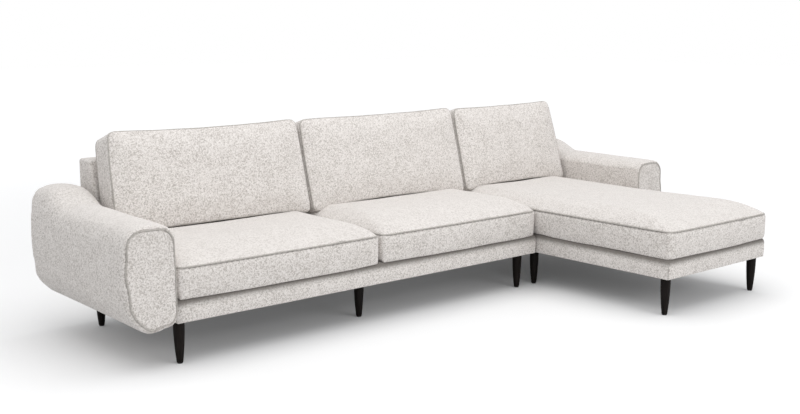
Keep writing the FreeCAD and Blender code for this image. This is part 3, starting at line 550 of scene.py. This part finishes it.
def seatCushion(bay, look, seed):
    name = f"{bay}SeatCushion"
    low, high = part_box(f"{bay}_seat_cushion_cover")
    halfWide, halfDeep = (high.x - low.x) / 2, (high.y - low.y) / 2
    middle = Vector(((high.x + low.x) / 2, (high.y + low.y) / 2, low.z))
    corner = look["toeCorner"] if bay == "chaise" else look["corner"]
    edge = look["wall"] + look["edge"]
    blockWide, blockDeep = halfWide - look["trim"][0], halfDeep - look["trim"][1]
    block = cushionBlock(name, blockWide * 2, blockDeep * 2, 0.0, edge, corner, look["corner"])
    remeshed(block, look["voxel"])

    spots = points(block)
    x, y, z = spots.T
    corners = np.where(y < 0, corner, look["corner"])
    depth, wayX, wayY = insideOf(x, y, blockWide, blockDeep, corners)
    up = np.clip(z / edge, 0, 1)
    draw = look["foot"] * (1 - up) ** 5
    rim = np.exp(-((depth / look["rim"]) ** 2))
    bowX = look["bow"] * (1 - (y / halfDeep) ** 2) * np.sign(x) * rim
    bowY = look["bow"] * 1.6 * (1 - (x / halfWide) ** 2) * np.sign(y) * rim
    rise = (look["crown"][bay] - look["cap"]) * crowned(x, y, halfWide, halfDeep, look["crownRuns"]) * up
    place(block, np.stack([x - wayX * draw * rim + bowX, y - wayY * draw * rim + bowY, z + rise], 1))

    heldUp, heldIn = look["held"]
    onSeam = (np.abs(z - look["wall"]) < heldUp) & (depth < heldIn)
    inflated(block, onSeam | (z < heldIn), look["pressure"], look["cap"])
    subdivided(block)
    place(block, uneven(points(block), *look["uneven"], seed))
    stretched(block, look["wall"], halfWide - look["inset"], halfDeep - look["inset"])
    spots = points(block)
    widest = halfWide - 0.0002 + look["gap"] / 2
    spots[:, 0] = np.clip(spots[:, 0], -widest, widest)
    spots[:, 2] = np.maximum(spots[:, 2], 0)
    spots[:, 2] -= lipDrop(spots, bay, halfWide, halfDeep, middle.y, look)
    place(block, spots)

    seamLevel = Vector((0, 0, look["wall"]))
    upWay = Vector((0, 0, 1))
    sliced(block, [(seamLevel + upWay * off, upWay) for off in look["slices"]])
    line = lineAcross(block, seamLevel, upWay)
    pressed(block, [line - (0, 0, look["under"])], look["groove"], look["crease"])
    block.data.transform(Matrix.Translation(middle))
    cord = cordAlong(f"{name}Cord", [cordLine(line, halfWide, look)], look["cord"])
    cord.data.transform(Matrix.Translation(middle))
    body = f"{bay}_seat_cushion"
    dressed(block, coverCloth, body, "boucle", f"{body}_cover", f"{body}_filling")
    dressed(cord, pipingCloth, body, "cord", f"{body}_cord")
    print("seat cushion", bay, len(block.data.polygons))


def lipDrop(spots, bay, halfWide, halfDeep, middleY, look):
    # How far the lower edge hangs down in front, and along the free sides of the chaise
    x, y, z = spots.T
    hang, reach = look["lip"]
    over = np.exp(-(((y + halfDeep) / reach) ** 2))
    if bay == "chaise":
        start, ease = look["toeFrom"]
        free = np.clip((start - (y + middleY)) / ease, 0, 1)
        side = free * np.exp(-(((halfWide - np.abs(x)) / reach) ** 2))
        over = np.maximum(over, side) * look["toeLip"]
    return hang * over * np.clip(1 - z / look["lipTop"], 0, 1)


def stretched(piece, level, halfWide, halfDeep):
    # Scaled flat until its line at a level spans the wanted width and depth
    line = lineAcross(piece, Vector((0, 0, level)), Vector((0, 0, 1)))
    low, high = line.min(0), line.max(0)
    spots = points(piece)
    for axis, half in ((0, halfWide), (1, halfDeep)):
        middle, span = (high[axis] + low[axis]) / 2, high[axis] - low[axis]
        spots[:, axis] = (spots[:, axis] - middle) * 2 * half / span
    place(piece, spots)


def cordLine(line, halfWide, look):  # drawn in so that most of the cord lies in its furrow
    centre = line.mean(0)
    ahead = np.roll(line, -1, 0) - np.roll(line, 1, 0)
    out = np.stack([ahead[:, 1], -ahead[:, 0], np.zeros(len(line))], 1)
    out /= np.linalg.norm(out, axis=1)[:, None]
    facing = np.sign(np.sum(out[:, :2] * (line - centre)[:, :2], axis=1).mean())
    drawn = line - out * facing * cordInset
    limit = halfWide + cordSpill - look["cord"]
    drawn[:, 0] = np.clip(drawn[:, 0], -limit, limit)
    return drawn


def backCushion(bay, ends, look, seed):
    name = f"{bay}BackCushion"
    low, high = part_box(f"{bay}_seat_cushion_cover")
    halfWide = (high.x - low.x) / 2
    middleX, halfTall, thick = (high.x + low.x) / 2, look["height"] / 2, look["thick"]
    frontGain, rearGain = look["gains"]
    blockWide, blockTall, edge = halfWide - look["trim"], halfTall - look["trim"], look["edge"]
    corners = [look["corner"]] * 2
    block = cushionBlock(name, blockWide * 2, blockTall * 2, -edge, thick + edge, *corners)
    remeshed(block, look["voxel"])

    spots = points(block)
    x, y, z = spots.T
    depth = insideOf(x, y, blockWide, blockTall, look["corner"])[0]
    face = np.clip(z / thick, 0, 1)
    rim = np.exp(-((depth / look["rim"]) ** 2))
    front = (look["crown"] - frontGain) * crowned(x, y, halfWide, halfTall, [look["crownRun"]] * 3)
    rear = (look["rearCrown"] - rearGain) * crowned(x, y, halfWide, halfTall, [look["rearRun"]] * 3)
    swell = look["side"] * (1 - (y / halfTall) ** 2) * np.sign(x) * rim
    place(block, np.stack([x + swell, y, z + front * face**2 - rear * (1 - face) ** 2], 1))

    heldUp, heldIn, heldFoot = look["held"]
    onSeams = (depth < heldIn) & ((np.abs(z) < heldUp) | (np.abs(z - thick) < heldUp))
    inflated(block, onSeams | (y < heldFoot - halfTall), look["pressure"], look["cap"])
    subdivided(block)
    place(block, uneven(points(block), *look["uneven"], seed))
    stretched(block, thick, halfWide - look["inset"], halfTall)
    leant(block, bay, ends, halfWide, look)

    upWay = Vector((0, 0, 1))
    levels = [level + off for level in (0.0, thick) for off in look["slices"]]
    sliced(block, [(Vector((0, 0, level)), upWay) for level in levels])
    lines = [lineAcross(block, Vector((0, 0, level)), upWay) for level in (0.0, thick)]
    beside = [line + (0, 0, off) for line, off in zip(lines, (look["under"], -look["under"]))]
    pressed(block, beside, look["groove"], look["crease"])
    turn = (
        Matrix.Translation((middleX, look["foot"][0], look["foot"][1]))
        @ Matrix.Rotation(math.radians(-look["lean"]), 4, "X")
        @ Matrix.Translation((0, thick, 0))
        @ Matrix.Rotation(math.radians(90), 4, "X")
    )
    block.data.transform(turn)
    cordLines = [cordLine(line, halfWide + 0.002, look) for line in lines]
    cord = cordAlong(f"{name}Cord", cordLines, look["cord"])
    cord.data.transform(turn)
    body = f"{bay}_back_cushion"
    dressed(block, coverCloth, body, "boucle", f"{body}_cover", f"{body}_filling")
    dressed(cord, pipingCloth, body, "cord", f"{body}_cord")
    print("back cushion", bay, len(block.data.polygons))


def leant(piece, bay, ends, halfWide, look):
    # Narrower towards the top, lower behind, flat underneath and arched over the crowned seat
    spots = points(piece)
    halfTall, widest = look["height"] / 2, halfWide - look["inset"] + look["bulge"]
    x = np.clip(spots[:, 0], -widest, widest)
    y, z = np.maximum(spots[:, 1], -halfTall - 0.001), spots[:, 2]
    share, out = (y + halfTall) / (2 * halfTall), np.abs(x) / halfWide
    towardsRight = (x / halfWide + 1) / 2
    for side, (foot, top) in ((-1, ends[0]), (1, ends[1])):
        beside = x * side > 0
        spots[beside, 0] = (x * (1 - (foot + (top - foot) * share) / halfWide))[beside]
    face = np.clip(z / look["thick"], 0, 1)
    height = look["rearHeight"] + (look["height"] - look["rearHeight"]) * face
    rise, drop, power = look["arch"][bay]
    atLeft, atRight = look["top"][bay]
    bottom, top = rise - drop * out**power, height - look["dip"][bay] * (1 - out**2)
    top += atLeft + (atRight - atLeft) * towardsRight
    spots[:, 1] = bottom + (top - bottom) * share
    place(piece, spots)


inner, outer = backLook["besideCushion"], backLook["besideArm"]
bayEnds = {"left": (outer, inner), "middle": (inner, inner), "chaise": (inner, outer)}
for seed, (bay, ends) in enumerate(bayEnds.items()):
    seatCushion(bay, seatLook, 3.1 + 7 * seed)
    backCushion(bay, ends, backLook, 5.7 + 7 * seed)


# Arms: one cover drawn over a shaped block, with a panel and a thin cord at each end

armLook = {
    "width": 0.207,
    "rearWidth": 0.209,
    "frontTop": 0.562,
    "rearTop": 0.636,
    "face": -0.0365,
    "rear": 0.8305,
    "rise": (0.520, 0.720),  # where the top climbs
    "slope": 0.010,  # its slower rise up to there
    "seam": 0.005,
    "voxel": 0.0115,
    "pressure": 4.0,
    "cap": 0.003,
    "swell": 0.001,  # of the side cloth behind the end seams
    "swellRun": 0.022,
    "held": (0.009, 0.004),  # cloth that doesn't move, near the end seams and on the inner side
    "uneven": (0.18, 0.0018),
    "slices": (-0.0045, -0.002, 0.0, 0.003, 0.006),
    "frontSpan": ((0.0015, 0.2085), (0.171, 0.558)),  # of the seam, out from the cushion and up
    "rearSpan": ((0.0015, 0.2150), (0.174, 0.631)),
    "cord": 0.0026,
    "groove": 0.0035,
    "crease": 0.0040,
}


def armForm(look, side, innerFace):
    width, top = look["width"], look["frontTop"]
    corners = [  # out from the cushion, up, and the radius
        (0.0, 0.184, 0.050), (width * 0.64, 0.162, 0.055), (width - 0.004, 0.242, 0.095),
        (width + 0.008, 0.385, 0.400), (width - 0.002, top - 0.013, 0.062),
        (width * 0.56, top + 0.003, 0.180), (0.0, top - 0.010, 0.062),
    ]
    form = bmesh.new()
    verts = [form.verts.new((across, look["face"] + 0.003, up)) for across, up, radius in corners]
    form.faces.new(verts)
    spots = [Vector((across, up)) for across, up, radius in corners]
    for index, (across, up, radius) in enumerate(corners):
        before, after = spots[index] - spots[index - 1], spots[(index + 1) % len(spots)] - spots[index]
        reach = radius * math.tan(before.angle(after) / 2)
        bmesh.ops.bevel(
            form, geom=[verts[index]], offset=reach, offset_type="OFFSET", segments=7, profile=0.5,
            affect="VERTICES", material=-1,
        )
    drawn = bmesh.ops.extrude_face_region(form, geom=form.faces[:])
    ends = [item for item in drawn["geom"] if isinstance(item, bmesh.types.BMVert)]
    length = look["rear"] - look["face"] - 0.006
    bmesh.ops.translate(form, vec=(0, length, 0), verts=ends)
    long = [edge for edge in form.edges if abs(edge.verts[0].co.y - edge.verts[1].co.y) > length / 2]
    bmesh.ops.subdivide_edges(form, edges=long, cuts=60, use_grid_fill=True)
    bmesh.ops.recalc_face_normals(form, faces=form.faces)
    for vert in form.verts:
        start, end = look["rise"]
        share = min(max((vert.co.y - start) / (end - start), 0), 1)
        eased = (1 - math.cos(math.pi * share)) / 2
        slow = look["slope"] * min(max(vert.co.y / start, 0), 1)
        climb = slow + (look["rearTop"] - look["frontTop"] - look["slope"]) * eased
        if vert.co.z > 0.3:
            vert.co.z += climb * min((vert.co.z - 0.3) / (top - 0.3), 1.05)
        vert.co.x *= 1 + (look["rearWidth"] / look["width"] - 1) * eased
        vert.co.x = innerFace + side * (0.001 + vert.co.x)
    if side < 0:
        bmesh.ops.reverse_faces(form, faces=form.faces)
    return form


def arm(prefix, body, side, innerFace, look, seed):
    piece = asPiece(armForm(look, side, innerFace), f"{prefix}Arm")
    remeshed(piece, look["voxel"])
    spots = points(piece)
    seams = (look["face"] + look["seam"], look["rear"] - look["seam"])
    held = np.zeros(len(spots), bool)
    for level in seams:
        held |= np.abs(spots[:, 1] - level) < look["held"][0]
    inner = np.abs(spots[:, 0] - innerFace) < look["held"][1]
    behind = np.clip(np.minimum(spots[:, 1] - seams[0], seams[1] - spots[:, 1]), 0, None)
    normals = meshNormals(piece)
    normals[:, 1] = 0
    full = look["swell"] * (1 - np.exp(-((behind / look["swellRun"]) ** 2))) * ~inner
    place(piece, spots + normals * full[:, None])
    inflated(piece, held | inner, look["pressure"], look["cap"])
    subdivided(piece)
    place(piece, uneven(points(piece), *look["uneven"], seed))
    spots = spanned(piece, seams, side, innerFace, look)
    outOfFace = side * (spots[:, 0] - innerFace)
    spots[:, 0] = innerFace + side * np.maximum(outOfFace, 0.0007)
    spots[:, 1] = np.minimum(spots[:, 1], look["rear"] + 0.002)
    place(piece, spots)
    along = Vector((0, 1, 0))
    levels = [level + off for level in seams for off in look["slices"]]
    sliced(piece, [(Vector((0, level, 0)), along) for level in levels])
    lines = [lineAcross(piece, Vector((0, level, 0)), along) for level in seams]
    pressed(piece, lines, look["groove"], look["crease"])
    cordLines = [endLine(line, side, innerFace, look) for line in lines]
    cord = cordAlong(f"{prefix}ArmCords", cordLines, look["cord"])
    dressed(piece, coverCloth, body, "boucle", f"{prefix}_arm_cover", f"{prefix}_arm_padding")
    dressed(cord, pipingCloth, body, "cord", f"{prefix}_arm_cords")
    print("arm", prefix, len(piece.data.polygons))


def spanned(piece, seams, side, innerFace, look):
    # Each end seam brought to its span, and the cloth between them with it
    spots = points(piece)
    share = np.clip((spots[:, 1] - seams[0]) / (seams[1] - seams[0]), 0, 1)
    moved = []
    for level, spans in zip(seams, (look["frontSpan"], look["rearSpan"])):
        line = lineAcross(piece, Vector((0, level, 0)), Vector((0, 1, 0)))
        line[:, 0] = side * (line[:, 0] - innerFace)
        at = []
        for axis, (least, most) in zip((0, 2), spans):
            low, high = line[:, axis].min(), line[:, axis].max()
            here = side * (spots[:, 0] - innerFace) if axis == 0 else spots[:, 2]
            at.append(least + (here - low) * (most - least) / (high - low))
        moved.append(np.stack(at, 1))
    across, up = (moved[0] * (1 - share)[:, None] + moved[1] * share[:, None]).T
    return np.stack([innerFace + side * across, spots[:, 1], up], 1)


def endLine(line, side, innerFace, look):  # drawn into the arm's furrow, and clear of the cushion's side
    ahead = np.roll(line, -1, 0) - np.roll(line, 1, 0)
    out = np.stack([ahead[:, 2], np.zeros(len(line)), -ahead[:, 0]], 1)
    out /= np.linalg.norm(out, axis=1)[:, None]
    facing = np.sign(np.sum(out * (line - line.mean(0)), axis=1).mean())
    drawn = line - out * facing * 0.0010
    outOfFace = side * (drawn[:, 0] - innerFace)
    drawn[:, 0] = innerFace + side * np.maximum(outOfFace, look["cord"] + 0.0004)
    return drawn


leftFace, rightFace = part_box("left_arm_cover")[1].x + 0.001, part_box("right_arm_cover")[0].x - 0.001
arm("left", "sofa", -1, leftFace, armLook, 11.3)
arm("right", "chaise", 1, rightFace, armLook, 17.9)


# Bases: a padded band round the frame, its cloth turned in under the rails

baseLook = {
    "topRound": 0.022,
    "footRound": 0.003,
    "sofaCorner": 0.008,
    "toeCorner": 0.014,
    "shade": 0.026,  # how far down from the top the crevice's shade reaches
    "deck": 0.070,  # and how far in over the deck
    "cornerShade": (0.6, 0.003),
    "cloth": 0.003,
    "turnIn": 0.0115,
    "swell": 0.003,
    "drawn": 0.0015,  # the cloth lies this far in before it swells
    "uneven": (0.2, 0.0006),
    "grid": (0.05, 0.05, 0.012),
}


def gridded(form, low, high, step):
    for axis in range(3):
        way = Vector([float(axis == each) for each in range(3)])
        count = max(int((high[axis] - low[axis]) / step[axis]), 1)
        for index in range(1, count):
            spot = Vector(low) + way * ((high[axis] - low[axis]) * index / count)
            everything = form.verts[:] + form.edges[:] + form.faces[:]
            bmesh.ops.bisect_plane(form, geom=everything, dist=1e-5, plane_co=spot, plane_no=way)


def creviceShade(spots, low, high, rounded, look):
    # Painted shade under the cushions' edges and along the corner stitching
    centre = (low + high) / 2
    inwards = [(high[axis] - low[axis]) / 2 - np.abs(spots[:, axis] - centre[axis]) for axis in (0, 1)]
    down = (high.z - spots[:, 2]) / look["shade"]
    over = np.maximum(np.minimum(*inwards), 0) / look["deck"]
    deep = np.exp(-(down**4) - over**2)
    share, reach = look["cornerShade"]
    for cornerX, cornerY, radius in rounded:
        towards = Vector((math.copysign(1, cornerX - centre.x), math.copysign(1, cornerY - centre.y)))
        edge = Vector((cornerX, cornerY)) - towards * radius * (1 - math.sqrt(0.5))
        near = np.hypot(spots[:, 0] - edge.x, spots[:, 1] - edge.y)
        deep = np.maximum(deep, share * np.exp(-((near / reach) ** 2)))
    return deep


def base(name, node, body, rounded, look, seed):
    low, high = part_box(node)
    form = bmesh.new()
    bmesh.ops.create_cube(form, size=1.0)
    bmesh.ops.scale(form, vec=high - low, verts=form.verts)
    bmesh.ops.translate(form, vec=(high + low) / 2, verts=form.verts)
    for cornerX, cornerY, radius in rounded:
        uprightRounded(
            form, lambda spot: abs(spot.x - cornerX) < 1e-4 and abs(spot.y - cornerY) < 1e-4, radius, 6,
        )
    for level, radius, segments in ((high.z, look["topRound"], 6), (low.z, look["footRound"], 2)):
        rims = [edge for edge in form.edges if all(abs(vert.co.z - level) < 1e-5 for vert in edge.verts)]
        bmesh.ops.bevel(
            form, geom=rims, offset=radius, segments=segments, profile=0.5, affect="EDGES", material=-1,
        )
    gridded(form, low, high, look["grid"])
    under = [face for face in form.faces if face.normal.z < -0.99]
    bmesh.ops.delete(form, geom=under, context="FACES")
    rim = [edge for edge in form.edges if edge.is_boundary]
    turned = bmesh.ops.extrude_edge_only(form, edges=rim)
    centre = (low + high) / 2
    for vert in [item for item in turned["geom"] if isinstance(item, bmesh.types.BMVert)]:
        for axis in (0, 1):
            reach = (high[axis] - low[axis]) / 2
            off = vert.co[axis] - centre[axis]
            vert.co[axis] = centre[axis] + math.copysign(min(abs(off), reach - look["turnIn"]), off)
    bmesh.ops.recalc_face_normals(form, faces=form.faces)
    piece = asPiece(form, name)
    spots = points(piece)
    up = np.clip((spots[:, 2] - low.z) / (high.z - low.z), 0, 1)
    swell = look["swell"] * np.sin(np.pi * up)
    for axis in (0, 1):
        off = spots[:, axis] - centre[axis]
        atSide = np.abs(off) > (high[axis] - low[axis]) / 2 - 0.002
        spots[:, axis] += np.sign(off) * (swell - look["drawn"]) * atSide
    # painted shade in the crevice under the cushions, through the seam attribute
    creaseShaded(piece, creviceShade(spots, low, high, rounded, look))
    place(piece, uneven(spots, *look["uneven"], seed))
    wall = piece.modifiers.new("cloth", "SOLIDIFY")
    wall.thickness, wall.offset = look["cloth"], -1.0
    applied(piece)
    even = piece.modifiers.new("even", "WEIGHTED_NORMAL")
    even.weight = 60
    dressed(piece, coverCloth, body, "boucle", node)
    print("base", name, len(piece.data.polygons))


sofaLow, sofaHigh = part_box("sofa_base_cover")
chaiseLow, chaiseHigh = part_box("chaise_base_cover")
sofaCorners = [(sofaHigh.x, sofaLow.y, baseLook["sofaCorner"])]
toeCorners = [(side, chaiseLow.y, baseLook["toeCorner"]) for side in (chaiseLow.x, chaiseHigh.x)]
base("sofaBase", "sofa_base_cover", "sofa", sofaCorners, baseLook, 21.0)
base("chaiseBase", "chaise_base_cover", "chaise", toeCorners, baseLook, 23.0)


# Backs: a leaning padded wedge with a rounded top

backRestLook = {
    "lean": 12.5, "topThick": 0.112, "edge": 0.014, "uneven": (0.2, 0.0008), "grid": (0.06, 0.06, 0.06),
}


def backRest(name, node, body, look, seed):
    low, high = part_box(node)
    run = (high.z - low.z) * math.tan(math.radians(look["lean"]))
    form = bmesh.new()
    front = high.y - look["topThick"]
    corners = [(front - run, low.z), (high.y, low.z), (high.y, high.z), (front, high.z)]
    side = form.faces.new([form.verts.new((low.x, back, up)) for back, up in corners])
    drawn = bmesh.ops.extrude_face_region(form, geom=[side])
    ends = [item for item in drawn["geom"] if isinstance(item, bmesh.types.BMVert)]
    bmesh.ops.translate(form, vec=(high.x - low.x, 0, 0), verts=ends)
    bmesh.ops.recalc_face_normals(form, faces=form.faces)
    rims = [edge for edge in form.edges if any(vert.co.z > low.z + 0.01 for vert in edge.verts)]
    bmesh.ops.bevel(
        form, geom=rims, offset=look["edge"], segments=5, profile=0.5, affect="EDGES", material=-1,
    )
    gridded(form, low, high, look["grid"])
    piece = asPiece(form, name)
    place(piece, uneven(points(piece), *look["uneven"], seed))
    even = piece.modifiers.new("even", "WEIGHTED_NORMAL")
    even.weight = 60
    dressed(piece, coverCloth, body, "boucle", node)
    print("back", name, len(piece.data.polygons))


backRest("sofaBack", "sofa_back_cover", "sofa", backRestLook, 27.0)
backRest("chaiseBack", "chaise_back_cover", "chaise", backRestLook, 29.0)


# Legs, frames, springs and fittings stay as drawn and take their own finishes

nodeFinish = {
    "leg_glides": "glide", "leg_plates": "steel", "leg_bolts": "steel", "arm_bolts": "steel",
    "seat_springs": "steel", "connector": "steel", "seat_frame": "timber", "back_frame": "timber",
    "arm_frame": "timber", "dust_cover": "dust_cloth", "padding": "foam", "filling": "foam",
    "cord": "cord", "cover": "boucle",
}


def finishOf(node):
    if node.startswith("leg_"):
        return finishes["leg_wood"]
    return next(finishes[kind] for part, kind in nodeFinish.items() if part in node)


for node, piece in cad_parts.items():
    if not piece.material_slots:
        piece.data.materials.append(None)
    for slot in piece.material_slots:
        slot.material = finishOf(node)
print("fittings finished")


# Studio: pale floor, soft light and the camera

studioLook = {
    "camera": (-3.3365, -3.5875, 1.300),
    "pitch": 9.576,
    "turn": 40.47,
    "lens": 47.86,
    "ambient": 0.78,
    "skyTint": (0.985, 0.99, 1.0, 1),
    "softbox": {"place": (-0.4, -0.6, 3.6), "aim": (-0.4, -0.6, 0), "size": (6.0, 4.0), "energy": 84.0},
    "frontFill": {"place": (1.0, -6.0, 2.6), "aim": (0, 0, 0.4), "size": (4.0, 2.5), "energy": 78.0},
    "floor": 0.72,
    "fades": (1.2, 5.5),  # from here outwards, and over this much
    "seenFloor": (0.82, 1.25),  # its colour to the camera, under the sofa and far off
    "lift": 0.055,
}


def paleFloor(look):
    # The camera sees the floor white as far as the horizon, with the sofa's shadow on it
    floor = Finish("paleFloor")
    near, far = look["seenFloor"]
    away = floor.node("ShaderNodeVectorMath", {"operation": "LENGTH"}, {0: floor.places()}, "Value")
    start, run = look["fades"]
    share = floor.node("ShaderNodeClamp", {}, {"Value": (away - start) / run})
    tone = share * (far - near) + near
    seen = floor.node("ShaderNodeLightPath", output="Is Camera Ray")
    level = seen * tone + (1 - seen) * look["floor"]
    matt = floor.node("ShaderNodeBsdfDiffuse", {}, {"Color": level})
    lift = floor.node("ShaderNodeEmission", {}, {"Color": (1, 1, 1, 1), "Strength": seen * look["lift"]})
    both = floor.node("ShaderNodeAddShader", {}, {0: matt, 1: lift})
    floor.feed(floor.tree.nodes["Material Output"].inputs["Surface"], both)
    return floor.material


def areaLight(name, look):
    data = bpy.data.lights.new(name, "AREA")
    data.shape, data.size, data.size_y, data.energy = "RECTANGLE", *look["size"], look["energy"]
    lamp = bpy.data.objects.new(name, data)
    lamp.location = look["place"]
    lamp.rotation_euler = (Vector(look["aim"]) - Vector(look["place"])).to_track_quat("-Z", "Y").to_euler()
    bpy.context.collection.objects.link(lamp)


def studio(look):
    # The backdrop is white to the camera and to reflections, and lights the rest softly
    form = bmesh.new()
    bmesh.ops.create_grid(form, x_segments=1, y_segments=1, size=30.0)
    floor = asPiece(form, "floor")
    floor.data.materials.append(paleFloor(look))

    world = bpy.context.scene.world or bpy.data.worlds.new("studio")
    bpy.context.scene.world = world
    world.use_nodes = True
    nodes, links = world.node_tree.nodes, world.node_tree.links
    nodes.clear()
    path = nodes.new("ShaderNodeLightPath")
    seen = nodes.new("ShaderNodeMath")
    seen.operation = "MAXIMUM"
    also = nodes.new("ShaderNodeMath")
    also.operation = "MAXIMUM"
    links.new(path.outputs["Is Camera Ray"], seen.inputs[0])
    links.new(path.outputs["Is Glossy Ray"], also.inputs[0])
    links.new(path.outputs["Is Transmission Ray"], also.inputs[1])
    links.new(also.outputs[0], seen.inputs[1])
    lighting, backdrop = nodes.new("ShaderNodeBackground"), nodes.new("ShaderNodeBackground")
    lighting.inputs["Strength"].default_value = look["ambient"]
    backdrop.inputs["Color"].default_value = (1, 1, 1, 1)
    lighting.inputs["Color"].default_value = look["skyTint"]
    choose, out = nodes.new("ShaderNodeMixShader"), nodes.new("ShaderNodeOutputWorld")
    links.new(seen.outputs[0], choose.inputs["Fac"])
    links.new(lighting.outputs[0], choose.inputs[1])
    links.new(backdrop.outputs[0], choose.inputs[2])
    links.new(choose.outputs[0], out.inputs["Surface"])

    for name in ("softbox", "frontFill"):
        areaLight(name, look[name])

    eye = bpy.data.cameras.new("camera")
    eye.sensor_width, eye.lens = 36.0, look["lens"]
    camera = bpy.data.objects.new("camera", eye)
    camera.location = look["camera"]
    camera.rotation_euler = (math.radians(90 - look["pitch"]), 0, -math.radians(look["turn"]))
    bpy.context.collection.objects.link(camera)
    bpy.context.scene.camera = camera
    bpy.context.scene.view_settings.view_transform = "Standard"


studio(studioLook)
print("studio lit")
